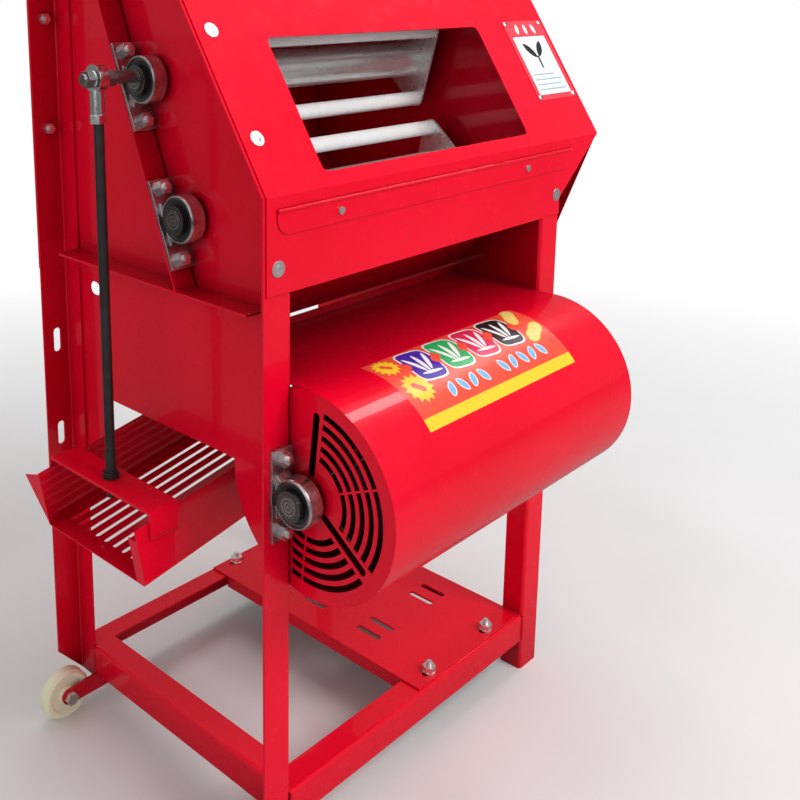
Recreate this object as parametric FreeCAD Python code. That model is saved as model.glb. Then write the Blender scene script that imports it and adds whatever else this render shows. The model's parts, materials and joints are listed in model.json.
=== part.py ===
import FreeCAD, Part
import math
import os

# Peanut picker: two geared picking rollers over a blower and a shaken sieve tray.
# Millimetres. While building, X = 0 is the outer edge of the left legs, Y = 0 the front
# face of the front legs and Z = 0 the floor. X runs to the right, Y to the back.
# The finished pieces are moved together so that the origin is the middle of the
# bounding box, on the floor.

# Frame of bent angles
frame_width = 576.0
frame_depth = 433.0
frame_height = 1077.0
leg_flange = 41.0
leg_side = 35.0
angle_wall = 3.0
bend_radius = 2.0
hood_bend_radius = 0.5
rail_top = 92.0
rail_drop = 42.0
rail_shelf = 35.0
foot_low = 40.0
foot_high = 86.0
leg_slot_width = 11.0
leg_slot_length = 34.0
leg_slots_below_top = (660.0, 525.0)

# Sheet pieces
sheet = 1.5
bend_below_top = 262.0
hood_edge_below_top = 368.0
hood_tilt = 33.0
hood_overhang = 97.0
hood_inset = 4.0
hood_bolt_in = 25.0
hood_bolt_right = 9.0
hood_cut_height = 83.0
window_left = 100.0
window_width = 402.0
window_low = 17.0
window_height = 168.0
window_radius = 8.0
guard_foot = 60.0
strip_left = 19.0
strip_length = 581.0
strip_height = 27.0
strip_ridge = 4.0
strip_below_top = 277.0
strip_corner = 18.0
member_below_top = 395.0
member_shelf = 33.0
member_drop = 26.0
duct_roof_below_top = 473.0
duct_floor_below_top = 591.0
duct_tail_below_top = 681.0
throat_y = 146.0
throat_lip = 9.0
throat_gap = 8.0
guide_lip = 8.0
guide_top_below_bend = 62.0
apron_front = 58.0
apron_back = 70.0
apron_knee_below_bend = 34.0
apron_foot_below_bend = 62.0
rear_guide_rise = 92.0
rear_guide_reach = 105.0
rear_guide_knee = 42.0
rear_guide_foot = 12.0
panel_hole = 18.0
panel_hole_length = 22.0
panel_hole_below_top = 443.0
panel_hole_from_back = 67.0

# Rollers
shaft_dia = 25.0
lower_y = 158.0
rollers_below_top = 312.0
roller_pitch = 168.0
roller_tilt = 22.4
tube_dia = 52.0
tube_wall = 2.5
bar_circle = 60.0
bar_dia = 21.0
bars_per_roller = 3
roller_end_gap = 26.0
spider_thick = 4.0
end_plate_rim = 12.0
upper_phase = 135.0
lower_phase = 72.0
gear_teeth = 28
gear_width = 18.0
tooth_play = 1.0
tooth_tip = 0.38
gear_gap = 22.0
running_clearance = 0.05
side_clearance = 0.3

# Bearings
bearing_height = 28.6
bearing_base_length = 108.0
bearing_base_thick = 4.0
bearing_base_width = 32.0
bearing_bolt_spacing = 86.0
bearing_bolt_dia = 10.0
bearing_bolt_hole = 11.0
bearing_ring_dia = 57.0
bearing_ring_width = 21.0
bearing_seat_dia = 52.0
insert_width = 32.0
insert_race_width = 15.0
bearing_rail_shelf = 33.0
bearing_rail_side = 28.0

# Blower
blower_below_top = 595.0
fan_radius = 122.0
blade_count = 4
blade_radius = 100.0
blade_depth = 62.0
blade_sheet = 2.0
blade_gap = 18.0
grille_rows = 5
grille_first = 48.0
grille_pitch = 12.6
grille_slot = 7.0
grille_sectors = 2
grille_sector_angle = 120.0
grille_margin = 5.0
grille_phase = 96.0
grille_rib = 2.4
spoke_slot_width = 9.5
spoke_slot_inner = 24.0
spoke_slot_outer = 101.0
fan_pulley_dia = 76.0
roller_pulley_dia = 150.0
pulley_width = 20.0

# Crank, rod and tray
crank_throw = 5.0
crank_hub_length = 28.0
crank_pin_dia = 12.0
rod_plane = -43.0
eye_dia = 32.0
eye_width = 16.0
rod_dia = 12.0
rod_nut_across = 19.0
shank_length = 50.0
tray_width = 200.0
tray_wall_height = 75.0
tray_outlet = -70.0
tray_length = 562.0
tray_slope = 10.0
tray_below_top = 721.0
tray_slot_count = 10
tray_slot_width = 7.0
tray_slot_pitch = 18.0
tray_slot_margin = 14.0
tray_slot_rows = 2
bridge_width = 42.0
bridge_thick = 4.0
bridge_lap = 24.0
flare = 34.0
hanger_rod_dia = 12.0
hanger_wall = 4.0
hanger_inset = 26.0
hanger_gap = 10.0
hanger_play = 0.8

# Motor plate
plate_from_right = 13.0
plate_width = 232.0
plate_thick = 3.0
plate_flange = 16.0
motor_slot_length = 44.0
motor_slot_width = 9.0
motor_slot_columns = (47.0, 76.0, 170.0, 199.0)
motor_slot_rows = (135.0, 243.0)
plate_bolt_columns = (39.0, 174.0)

# Wheels
wheel_dia = 72.0
wheel_width = 20.0
wheel_x = -7.0
wheel_set_in = 24.0
axle_dia = 10.0
arm_thick = 4.0
arm_height = 22.0

# Fasteners
nut_across = 16.0
nut_height = 8.0
dome_dia = 14.0
dome_height = 4.0
panel_bolt_dia = 8.0

# Values that follow from the sizes above
bend_height = frame_height - bend_below_top
hood_lower_edge = frame_height - hood_edge_below_top
strip_top = frame_height - strip_below_top
member_height = frame_height - member_below_top
duct_top = frame_height - duct_roof_below_top
duct_bottom = frame_height - duct_floor_below_top
duct_tail = frame_height - duct_tail_below_top
lower_z = frame_height - rollers_below_top
fan_y = -bearing_height
fan_z = frame_height - blower_below_top
tray_floor = frame_height - tray_below_top
leg_slot_heights = tuple(frame_height - down for down in leg_slots_below_top)
left_plane = leg_flange
right_plane = frame_width - leg_flange
plate_left = right_plane - plate_from_right - plate_width
middle = frame_width / 2.0
tilt = math.radians(roller_tilt)
hood_angle = math.radians(hood_tilt)
upper_y = lower_y + roller_pitch * math.sin(tilt)
upper_z = lower_z + roller_pitch * math.cos(tilt)
hood_right = frame_width + hood_overhang
hood_top_y = (frame_height - bend_height) * math.tan(hood_angle)
roller_left = left_plane + sheet + roller_end_gap
roller_right = right_plane - sheet - roller_end_gap
bearing_mid = left_plane - bearing_rail_shelf / 2.0
gear_left = frame_width + gear_gap - gear_width / 2.0
pulley_left = gear_left + gear_width + 12.0
slope = math.tan(math.radians(tray_slope))
tray_middle = upper_y
module = roller_pitch / gear_teeth
inner_left = left_plane + sheet
inner_right = right_plane - sheet

V = FreeCAD.Vector
AXES = {
    "X": (V(0, 1, 0), V(0, 0, 1), V(1, 0, 0)),
    "Y": (V(1, 0, 0), V(0, 0, 1), V(0, 1, 0)),
    "Z": (V(1, 0, 0), V(0, 1, 0), V(0, 0, 1)),
}
pieces = {}


def keep(name, *solids):
    """Store the solids of one named piece."""
    flat = []
    for solid in solids:
        flat.extend(solid.Solids)
    pieces[name] = flat


def to_space(point, axis, start):
    across, up, along = AXES[axis]
    return across * point[0] + up * point[1] + along * start


def prism(outline, axis, start, length):
    """Straight-sided prism from a closed outline, extruded along the axis."""
    corners = [to_space(p, axis, start) for p in outline]
    wire = Part.makePolygon(corners + [corners[0]])
    return Part.Face(wire).extrude(AXES[axis][2] * length)


def box(x0, x1, y0, y1, z0, z1):
    return Part.makeBox(x1 - x0, y1 - y0, z1 - z0, V(x0, y0, z0))


def rod(radius, axis, start, length, centre):
    """Cylinder along the axis through a centre given in the other two coordinates."""
    base = to_space(centre, axis, start)
    return Part.makeCylinder(radius, length, base, AXES[axis][2])


def tube(outer, inner, axis, start, length, centre):
    body = rod(outer, axis, start, length, centre)
    return body.cut(rod(inner, axis, start - 1.0, length + 2.0, centre))


def hexagon(across, axis, start, length, centre):
    radius = across / math.sqrt(3.0)
    outline = []
    for k in range(6):
        angle = math.radians(60.0 * k)
        outline.append((centre[0] + radius * math.cos(angle),
                        centre[1] + radius * math.sin(angle)))
    return prism(outline, axis, start, length)


def slot(length, width, axis, start, depth, centre, turned=0.0):
    """Round-ended slot, its long side along the first cross direction, then turned."""
    half = (length - width) / 2.0
    radius = width / 2.0
    a = V(-half, radius, 0)
    b = V(half, radius, 0)
    c = V(half, -radius, 0)
    d = V(-half, -radius, 0)
    edges = [Part.LineSegment(a, b).toShape(),
             Part.Arc(b, V(half + radius, 0, 0), c).toShape(),
             Part.LineSegment(c, d).toShape(),
             Part.Arc(d, V(-half - radius, 0, 0), a).toShape()]
    return flat_shape(edges, axis, start, depth, centre, turned)


def flat_shape(edges, axis, start, depth, centre, turned=0.0):
    """Extrude a flat closed set of edges that was drawn about the origin."""
    solid = Part.Face(Part.Wire(edges)).extrude(V(0, 0, depth))
    solid.rotate(V(0, 0, 0), V(0, 0, 1), turned)
    across, up, along = AXES[axis]
    if axis == "Y":
        solid.rotate(V(0, 0, 0), V(1, 0, 0), 90.0)
        solid.translate(along * depth)
    if axis == "X":
        solid.rotate(V(0, 0, 0), V(1, 1, 1), 120.0)
    solid.translate(to_space(centre, axis, start))
    return solid


def folded(path, thick, radius, axis, start, length):
    """Bent sheet: the path is one face, and the sheet lies to its left."""
    count = len(path)
    ways = []
    for k in range(count - 1):
        du = path[k + 1][0] - path[k][0]
        dv = path[k + 1][1] - path[k][1]
        size = math.hypot(du, dv)
        ways.append((du / size, dv / size))
    near = [("point", path[0])]
    far = [("point", shifted(path[0], ways[0], thick))]
    for k in range(1, count - 1):
        a, b = ways[k - 1], ways[k]
        turn = math.atan2(a[0] * b[1] - a[1] * b[0], a[0] * b[0] + a[1] * b[1])
        inner = radius if turn < 0 else radius + thick
        outer = radius + thick if turn < 0 else radius
        back = inner * math.tan(abs(turn) / 2.0)
        side = -1.0 if turn < 0 else 1.0
        p0 = (path[k][0] - a[0] * back, path[k][1] - a[1] * back)
        p1 = (path[k][0] + b[0] * back, path[k][1] + b[1] * back)
        hub = shifted(p0, a, side * inner)
        away = (path[k][0] - hub[0], path[k][1] - hub[1])
        size = math.hypot(away[0], away[1])
        away = (away[0] / size, away[1] / size)
        near.append(("arc", p0, (hub[0] + away[0] * inner, hub[1] + away[1] * inner), p1))
        q0 = shifted(p0, a, thick)
        q1 = shifted(p1, b, thick)
        far.append(("arc", q0, (hub[0] + away[0] * outer, hub[1] + away[1] * outer), q1))
    near.append(("point", path[-1]))
    far.append(("point", shifted(path[-1], ways[-1], thick)))
    edges = run_of(near, axis, start)
    edges += run_of(far, axis, start)
    for a, b in ((near[0][1], far[0][1]), (near[-1][1], far[-1][1])):
        edges.append(Part.LineSegment(to_space(a, axis, start), to_space(b, axis, start)).toShape())
    wire = Part.Wire(Part.__sortEdges__(edges))
    return Part.Face(wire).extrude(AXES[axis][2] * length)


def shifted(point, way, distance):
    """Point moved to the left of a direction."""
    return (point[0] - way[1] * distance, point[1] + way[0] * distance)


def run_of(items, axis, start):
    edges = []
    last = items[0][1]
    for item in items[1:]:
        first = item[1]
        if math.hypot(first[0] - last[0], first[1] - last[1]) > 1e-6:
            ends = [to_space(p, axis, start) for p in (last, first)]
            edges.append(Part.LineSegment(ends[0], ends[1]).toShape())
        last = first
        if item[0] == "arc":
            spots = [to_space(p, axis, start) for p in item[1:]]
            edges.append(Part.Arc(spots[0], spots[1], spots[2]).toShape())
            last = item[3]
    return edges


def leaned(solid, degrees, y, z):
    """Lean a solid backwards about an X line through the given point."""
    solid.rotate(V(0, y, z), V(1, 0, 0), -degrees)
    return solid


def mirrored_x(solid):
    return solid.mirror(V(middle, 0, 0), V(1, 0, 0))


def joined(solids):
    body = solids[0]
    for other in solids[1:]:
        body = body.fuse(other)
    return body.removeSplitter()


def slant_point(along):
    """Point on the outer face of the leaning front, measured up from its bend."""
    y = along * math.sin(hood_angle)
    z = bend_height + along * math.cos(hood_angle)
    return y, z


# Legs and rails

def leg(front, left):
    """Bent angle: one flange turned outward, the other along the side of the machine."""
    high = bend_height if front else frame_height
    path = [(0, 0), (leg_flange, 0), (leg_flange, leg_side)]
    if not front:
        path = [(leg_flange, frame_depth - leg_side), (leg_flange, frame_depth),
                (0, frame_depth)]
    body = folded(path, angle_wall, bend_radius, "Z", 0.0, high)
    if left:
        foot = [(-1.0, -1.0), (leg_flange + 1.0, -1.0),
                (leg_flange + 1.0, foot_low - 1.0), (-1.0, foot_high + 1.0)]
        body = body.cut(prism(foot, "Y", -1.0, frame_depth + 2.0))
    if not front:
        for height in leg_slot_heights:
            body = body.cut(slot(leg_slot_length, leg_slot_width, "Y", frame_depth - 9.0,
                                 18.0, (leg_flange / 2.0, height), 90.0))
        for height in rear_bolt_heights():
            body = body.cut(rod(panel_bolt_dia / 2.0, "Y", frame_depth - 9.0, 18.0,
                                (leg_flange / 2.0, height)))
    if front:
        for offset in (-0.5, 0.5):
            at = (bearing_mid, fan_z + offset * bearing_bolt_spacing)
            body = body.cut(rod(bearing_bolt_dia / 2.0, "Y", -9.0, 18.0, at))
        x = hood_upright_bolts()[0] if left else frame_width - hood_upright_bolts()[1]
        body = body.cut(rod(panel_bolt_dia / 2.0, "Y", -9.0, 18.0, (x, hood_bolt()[1])))
    if not left:
        body = mirrored_x(body)
    return body


def rear_bolt_heights():
    return (frame_height - 235.0, frame_height - 94.0)


def hood_bolt():
    """Middle of the outward flange, a little above the lower edge of the hood."""
    return (leg_flange / 2.0, hood_lower_edge + 29.0)


def build_legs():
    keep("leg_front_left", leg(True, True))
    keep("leg_front_right", leg(True, False))
    keep("leg_rear_left", leg(False, True))
    keep("leg_rear_right", leg(False, False))


def build_rails():
    side = side_rail(leg_side, frame_depth - 2.0 * leg_side)
    keep("rail_left", side)
    keep("rail_right", mirrored_x(side))
    front = folded([(rail_shelf, rail_top), (0, rail_top), (0, rail_top - rail_drop)],
                   angle_wall, bend_radius, "X", left_plane, right_plane - left_plane)
    rear = front.mirror(V(0, frame_depth / 2.0, 0), V(0, 1, 0))
    for x in plate_bolt_places():
        front = front.cut(rod(panel_bolt_dia / 2.0, "Z", rail_top - 9.0, 18.0,
                              (x, rail_shelf / 2.0)))
        rear = rear.cut(rod(panel_bolt_dia / 2.0, "Z", rail_top - 9.0, 18.0,
                            (x, frame_depth - rail_shelf / 2.0)))
    keep("rail_front", front)
    keep("rail_rear", rear)


def side_rail(start, length):
    edge = left_plane - angle_wall
    path = [(edge + rail_shelf, rail_top), (edge, rail_top), (edge, rail_top - rail_drop)]
    return folded(path, angle_wall, bend_radius, "Y", start, length)


def plate_bolt_places():
    return [plate_left + c for c in plate_bolt_columns]


# Leaning stiles, side members and bearing rails

def build_stiles():
    """Upper ends of the front legs, leaning back under the edges of the hood."""
    length = (frame_height - bend_height) / math.cos(hood_angle) + 60.0
    path = [(0, 0), (leg_flange, 0), (leg_flange, leg_side)]
    body = folded(path, angle_wall, bend_radius, "Z", bend_height - 60.0, length + 60.0)
    body = leaned(body, hood_tilt, 0.0, bend_height)
    body = body.common(box(-1.0, leg_flange + 1.0, -50.0, frame_depth,
                           bend_height, frame_height))
    for along in hood_bolt_places():
        y, z = slant_point(along)
        hole = rod(panel_bolt_dia / 2.0, "Y", -9.0, 18.0, (hood_bolt_in, 0.0))
        hole.rotate(V(0, 0, 0), V(1, 0, 0), -hood_tilt)
        hole.translate(V(0, y, z))
        body = body.cut(hole)
    keep("stile_left", body)
    keep("stile_right", mirrored_x(body))


def hood_bolt_places():
    return (66.0, 197.0)


def build_bearing_rails():
    """Leaning angles on the side panels that carry the roller bearings."""
    edge = left_plane - bearing_rail_shelf
    face = lower_y + bearing_height
    path = [(edge, face), (left_plane, face), (left_plane, face + bearing_rail_side)]
    body = folded(path, angle_wall, bend_radius, "Z", 0.0, 2.0 * frame_height)
    for centre in (0.0, roller_pitch):
        for offset in (-0.5, 0.5):
            at = (bearing_mid, lower_z + centre + offset * bearing_bolt_spacing)
            body = body.cut(rod(bearing_bolt_dia / 2.0, "Y", face - 9.0, 18.0, at))
    body = leaned(body, roller_tilt, lower_y, lower_z)
    body = body.common(box(0.0, left_plane + 1.0, -50.0, frame_depth, member_height, frame_height))
    keep("bearing_rail_left", body)
    keep("bearing_rail_right", mirrored_x(body))


def build_side_members():
    """Level angles across each side, under the leaning bearing rails."""
    edge = left_plane - member_shelf
    outline = [(edge, member_height), (left_plane, member_height),
               (left_plane, member_height - member_drop),
               (left_plane - angle_wall, member_height - member_drop),
               (left_plane - angle_wall, member_height - angle_wall),
               (edge, member_height - angle_wall)]
    body = prism(outline, "Y", leg_side, frame_depth - 2.0 * leg_side)
    keep("side_member_left", body)
    keep("side_member_right", mirrored_x(body))


# Sheet covers

def build_side_panels():
    """Upper side panels, set in on the inner plane, and the blower duct sides below."""
    back = frame_depth - angle_wall
    lean = angle_wall / math.cos(hood_angle)
    foot = angle_wall
    top_y = hood_top_y + lean
    outline = [(foot, member_height - member_drop), (foot, bend_height),
               (top_y, frame_height), (back, frame_height), (back, member_height - member_drop)]
    body = prism(outline, "X", left_plane, sheet)
    for y, z in ((lower_y, lower_z), (upper_y, upper_z)):
        body = body.cut(rod(shaft_dia / 2.0 + 5.0, "X", left_plane - 5.0, 12.0, (y, z)))
    keep("side_panel_left", body)
    keep("side_panel_right", mirrored_x(body))
    low = member_height - member_drop
    tray_back = tray_front() + tray_width + crank_throw + hanger_gap
    outline = [(foot, duct_bottom), (foot, low), (back, low), (back, duct_tail),
               (tray_back, duct_tail), (tray_back, duct_bottom)]
    body = prism(outline, "X", left_plane, sheet)
    drum_end = rod(fan_radius, "X", left_plane, sheet, (fan_y, fan_z))
    drum_end = drum_end.common(box(0.0, frame_width, foot, back, 0.0, low))
    body = body.fuse(drum_end).removeSplitter()
    body = body.cut(slot(panel_hole_length, panel_hole, "X", left_plane - 5.0, 12.0,
                         (frame_depth - panel_hole_from_back, frame_height - panel_hole_below_top)))
    keep("duct_side_left", body)
    keep("duct_side_right", mirrored_x(body))


def build_front_panel():
    """One sheet: an upright lower part and the leaning part with the picking window."""
    wide = hood_right - hood_inset
    path = [(0.0, hood_lower_edge), (0.0, bend_height), (hood_top_y, frame_height)]
    body = folded(path, sheet, hood_bend_radius, "X", hood_inset, wide)
    body = body.common(box(0.0, hood_right, -9.0, frame_depth, 0.0, frame_height))
    corner = [(frame_width, hood_lower_edge - 1.0), (hood_right + 1.0, hood_lower_edge - 1.0),
              (hood_right + 1.0, bend_height), (hood_right, bend_height),
              (frame_width, bend_height - hood_cut_height)]
    body = body.cut(prism(corner, "Y", -30.0, 60.0))
    centre = (window_left + window_width / 2.0, bend_height + window_low + window_height / 2.0)
    hole = box(window_left, window_left + window_width, -9.0, 9.0,
               bend_height + window_low, bend_height + window_low + window_height)
    upright = [e for e in hole.Edges if abs(e.Vertexes[0].Y - e.Vertexes[1].Y) > 10.0]
    hole = hole.makeFillet(window_radius, upright)
    hole = leaned(hole, hood_tilt, 0.0, bend_height)
    body = body.cut(hole)
    for x, along in hood_leaning_bolts():
        y, z = slant_point(along)
        drill = rod(panel_bolt_dia / 2.0, "Y", -9.0, 18.0, (x, 0.0))
        drill.rotate(V(0, 0, 0), V(1, 0, 0), -hood_tilt)
        drill.translate(V(0, y, z))
        body = body.cut(drill)
    for x in hood_upright_bolts():
        body = body.cut(rod(panel_bolt_dia / 2.0, "Y", -9.0, 18.0, (x, hood_bolt()[1])))
    keep("front_panel", body)


def hood_upright_bolts():
    return (leg_flange / 2.0, frame_width - hood_bolt_right)


def hood_leaning_bolts():
    return [(hood_bolt_in, along) for along in hood_bolt_places()]


def build_strip():
    """Narrow strip along the foot of the window, with a rolled upper edge."""
    face = -sheet
    right = strip_left + strip_length
    plate = box(strip_left, right, face - sheet, face, strip_top - strip_height, strip_top)
    low = [e for e in plate.Edges
           if abs(e.Vertexes[0].Y - e.Vertexes[1].Y) > 1.0 and e.Vertexes[0].Z < strip_top - 1.0]
    plate = plate.makeFillet(strip_corner, low)
    ridge = rod(strip_ridge / 2.0, "X", strip_left, strip_length, (face - strip_ridge / 2.0, strip_top))
    body = joined([plate, ridge])
    for x in strip_screw_places():
        body = body.cut(rod(2.6, "Y", face - 9.0, 18.0, (x, strip_screw_height())))
    keep("panel_strip", body)


def strip_screw_places():
    return (strip_left + 96.0, strip_left + strip_length - 113.0)


def strip_screw_height():
    return strip_top - strip_height / 2.0


def build_rear_and_top():
    low = member_height - member_drop
    body = box(0.0, hood_right, frame_depth, frame_depth + sheet, low, frame_height)
    for x in (leg_flange / 2.0, frame_width - leg_flange / 2.0):
        for z in rear_bolt_heights():
            body = body.cut(rod(panel_bolt_dia / 2.0, "Y", frame_depth - 9.0, 18.0, (x, z)))
    keep("rear_panel", body)
    front = hood_top_y - sheet / math.cos(hood_angle)
    cover = box(hood_inset, hood_right, front, frame_depth + sheet, frame_height,
                frame_height + sheet)
    keep("top_cover", cover)


def build_guard():
    """Side cover of the gear pair, in line with the wide end of the front panel."""
    low = lower_z - roller_pitch / 2.0 - module - 12.0
    outline = [(0.0, bend_height), (guard_foot, low), (frame_depth, low),
               (frame_depth, frame_height), (hood_top_y, frame_height)]
    plate = prism(outline, "X", hood_right - sheet, sheet)
    keep("drive_guard", plate)


def build_guides():
    """Sloping plates inside: galvanised apron, and the two peanut guides below it."""
    width = inner_right - inner_left
    start = slant_point(window_low - 4.0)
    apron = folded([(start[0] + 0.6, start[1]), (apron_front, bend_height - apron_knee_below_bend),
                    (apron_back, bend_height - apron_foot_below_bend)],
                   sheet, bend_radius, "X", inner_left, width)
    keep("front_apron", apron)
    mouth = duct_top + throat_lip + throat_gap
    front = folded([(throat_y, mouth + guide_lip), (throat_y - 0.75 * guide_lip, mouth),
                    (angle_wall, bend_height - guide_top_below_bend)],
                   sheet, bend_radius, "X", inner_left, width)
    knee = frame_depth - rear_guide_reach
    rear = folded([(frame_depth - sheet, member_height + rear_guide_rise),
                   (knee, duct_top + rear_guide_knee), (knee, duct_top + rear_guide_foot)],
                  sheet, bend_radius, "X", inner_left, width)
    keep("guide_plates", front, rear)


# Blower

def build_casing():
    """Drum wrapped three quarters round, opening backwards into a flat duct."""
    width = right_plane - left_plane - 2.0 * sheet
    inner = fan_radius - sheet
    full = tube(fan_radius, inner, "X", left_plane + sheet, width, (fan_y, fan_z))
    window = box(left_plane, right_plane, fan_y, fan_y + fan_radius + 5.0,
                 duct_bottom, fan_z + fan_radius + 5.0)
    arc = full.cut(window)
    rise = fan_z + fan_radius
    roof = box(left_plane + sheet, right_plane - sheet, fan_y, throat_y, rise - sheet, rise)
    brim = box(left_plane + sheet, right_plane - sheet, throat_y - sheet, throat_y,
               rise - sheet, rise + throat_lip)
    lip_y = fan_y + math.sqrt(fan_radius ** 2 - (duct_bottom - fan_z) ** 2)
    lip = box(left_plane + sheet, right_plane - sheet, lip_y - 1.2 * sheet, hanger_front() - 1.0,
              duct_bottom - sheet, duct_bottom)
    keep("fan_casing", joined([arc, roof, brim, lip]))


def tray_front():
    return tray_middle - tray_width / 2.0


def hanger_front():
    """Front face of the tray's front hanger plate."""
    return tray_front() - crank_throw - hanger_gap - hanger_wall


def grille_cut(row, start_angle, end_angle):
    """One curved slot of the grille, between two angles, with square ends."""
    inner = grille_first + row * grille_pitch
    outer = inner + grille_slot
    a0 = math.radians(start_angle)
    a1 = math.radians(end_angle)
    am = (a0 + a1) / 2.0
    spots = []
    for radius in (inner, outer):
        for angle in (a0, am, a1):
            spots.append(V(radius * math.cos(angle), radius * math.sin(angle), 0))
    edges = [Part.Arc(spots[0], spots[1], spots[2]).toShape(),
             Part.LineSegment(spots[2], spots[5]).toShape(),
             Part.Arc(spots[5], spots[4], spots[3]).toShape(),
             Part.LineSegment(spots[3], spots[0]).toShape()]
    return flat_shape(edges, "X", left_plane - 5.0, 12.0, (fan_y, fan_z))


def build_grilles():
    """Round end plates of the drum: rows of curved air slots, and a long slot at each sector."""
    plate = rod(fan_radius, "X", left_plane, sheet, (fan_y, fan_z))
    plate = plate.cut(rod(grille_bore(), "X", left_plane - 5.0, 12.0, (fan_y, fan_z)))
    cuts = []
    for k in range(grille_sectors):
        spoke = grille_phase + k * grille_sector_angle
        after = spoke + grille_sector_angle
        middle_radius = (spoke_slot_inner + spoke_slot_outer) / 2.0
        at = (fan_y + middle_radius * math.cos(math.radians(spoke)),
              fan_z + middle_radius * math.sin(math.radians(spoke)))
        cuts.append(slot(spoke_slot_outer - spoke_slot_inner, spoke_slot_width, "X",
                         left_plane - 5.0, 12.0, at, spoke))
        for row in range(grille_rows):
            radius = grille_first + row * grille_pitch + grille_slot / 2.0
            margin = math.degrees((spoke_slot_width / 2.0 + grille_margin) / radius)
            rib = math.degrees(grille_rib / 2.0 / radius)
            half = (spoke + after) / 2.0
            cuts.append(grille_cut(row, spoke + margin, half - rib))
            cuts.append(grille_cut(row, half + rib, after - margin))
    slotted = box(0.0, frame_width, -frame_depth, angle_wall - grille_margin, 0.0, frame_height)
    cuts = [item.common(slotted) for item in cuts]
    for item in cuts:
        plate = plate.cut(item)
    plate = plate.common(box(0.0, frame_width, -frame_depth, angle_wall, 0.0, frame_height))
    keep("fan_grille_left", plate)
    keep("fan_grille_right", mirrored_x(plate))


def grille_bore():
    return shaft_dia / 2.0 + 2.0


def build_fan_rotor():
    left = left_plane + sheet + blade_gap
    right = right_plane - sheet - blade_gap
    shaft_left = left_plane - bearing_rail_shelf
    length = pulley_left + pulley_width - shaft_left
    keep("fan_shaft", rod(shaft_dia / 2.0, "X", shaft_left, length, (fan_y, fan_z)))
    spiders = []
    for x in (left + 60.0, right - 66.0):
        hub = rod(shaft_dia, "X", x - 12.0, 30.0, (fan_y, fan_z))
        parts = [hub]
        for k in range(blade_count):
            arm = box(x, x + 6.0, fan_y + shaft_dia / 2.0 + 4.0, fan_y + blade_radius - 12.0,
                      fan_z - 15.0, fan_z)
            arm.rotate(V(x, fan_y, fan_z), V(1, 0, 0), 45.0 + 360.0 * k / blade_count)
            parts.append(arm)
        hub = joined(parts).cut(rod(shaft_dia / 2.0, "X", x - 20.0, 50.0, (fan_y, fan_z)))
        spiders.append(hub)
    keep("fan_spiders", *spiders)
    blades = []
    for k in range(blade_count):
        blade = box(left, right, fan_y + blade_radius - blade_depth, fan_y + blade_radius,
                    fan_z, fan_z + blade_sheet)
        blade.rotate(V(left, fan_y, fan_z), V(1, 0, 0), 45.0 + 360.0 * k / blade_count)
        blades.append(blade)
    keep("fan_blades", *blades)
    keep("fan_pulley", pulley(fan_pulley_dia, pulley_left, fan_y, fan_z))


def pulley(diameter, x, y, z):
    """Single V-groove pulley turned to profile, with a hub and a hollow web."""
    outer = diameter / 2.0
    groove = 9.0
    width = pulley_width
    rim = [(0, shaft_dia / 2.0), (0, outer), (3.5, outer), (7.5, outer - groove),
           (width - 7.5, outer - groove), (width - 3.5, outer), (width, outer),
           (width, shaft_dia / 2.0)]
    if outer > 60.0:
        web = 3.0
        hub = shaft_dia + 2.0
        rim = [(0, shaft_dia / 2.0), (0, hub), (7.0, hub), (7.0, outer - groove - 7.0),
               (0, outer - groove - 7.0), (0, outer), (3.5, outer), (7.5, outer - groove),
               (width - 7.5, outer - groove), (width - 3.5, outer), (width, outer),
               (width, outer - groove - 7.0), (width - 7.0, outer - groove - 7.0),
               (width - 7.0, hub), (width, hub), (width, shaft_dia / 2.0)]
    corners = [V(p[0], p[1], 0) for p in rim]
    face = Part.Face(Part.makePolygon(corners + [corners[0]]))
    body = face.revolve(V(0, 0, 0), V(1, 0, 0), 360.0)
    body.translate(V(x, y, z))
    return body


# Bearings

def housing(x, y, z, lean):
    """Pressed pillow block: a thin foot strap with a rolled band round the bearing."""
    half = bearing_base_length / 2.0
    back = bearing_height
    foot = back - bearing_base_thick
    ring = bearing_ring_dia / 2.0
    width = bearing_ring_width
    strap = box(-bearing_base_width / 2.0, bearing_base_width / 2.0, foot, back, -half, half)
    band = rod(ring, "X", -width / 2.0, width, (0.0, 0.0))
    band = band.makeFillet(3.0, [e for e in band.Edges if len(e.Vertexes) == 1])
    touch = ring * 0.74
    flank = math.sqrt(ring ** 2 - touch ** 2)
    web = prism([(foot + 0.5, -flank - 7.0), (flank, -touch), (0.0, 0.0), (flank, touch),
                 (foot + 0.5, flank + 7.0)], "X", 1.0 - width / 2.0, width - 2.0)
    solid = joined([strap, band, web])
    solid = solid.cut(rod(bearing_seat_dia / 2.0, "X", -width, 2.0 * width, (0.0, 0.0)))
    for offset in (-0.5, 0.5):
        solid = solid.cut(rod(bearing_bolt_hole / 2.0, "Y", -1.0, back + 2.0,
                              (0.0, offset * bearing_bolt_spacing)))
    solid = leaned(solid, lean, 0.0, 0.0)
    solid.translate(V(x, y, z))
    return solid


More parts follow.
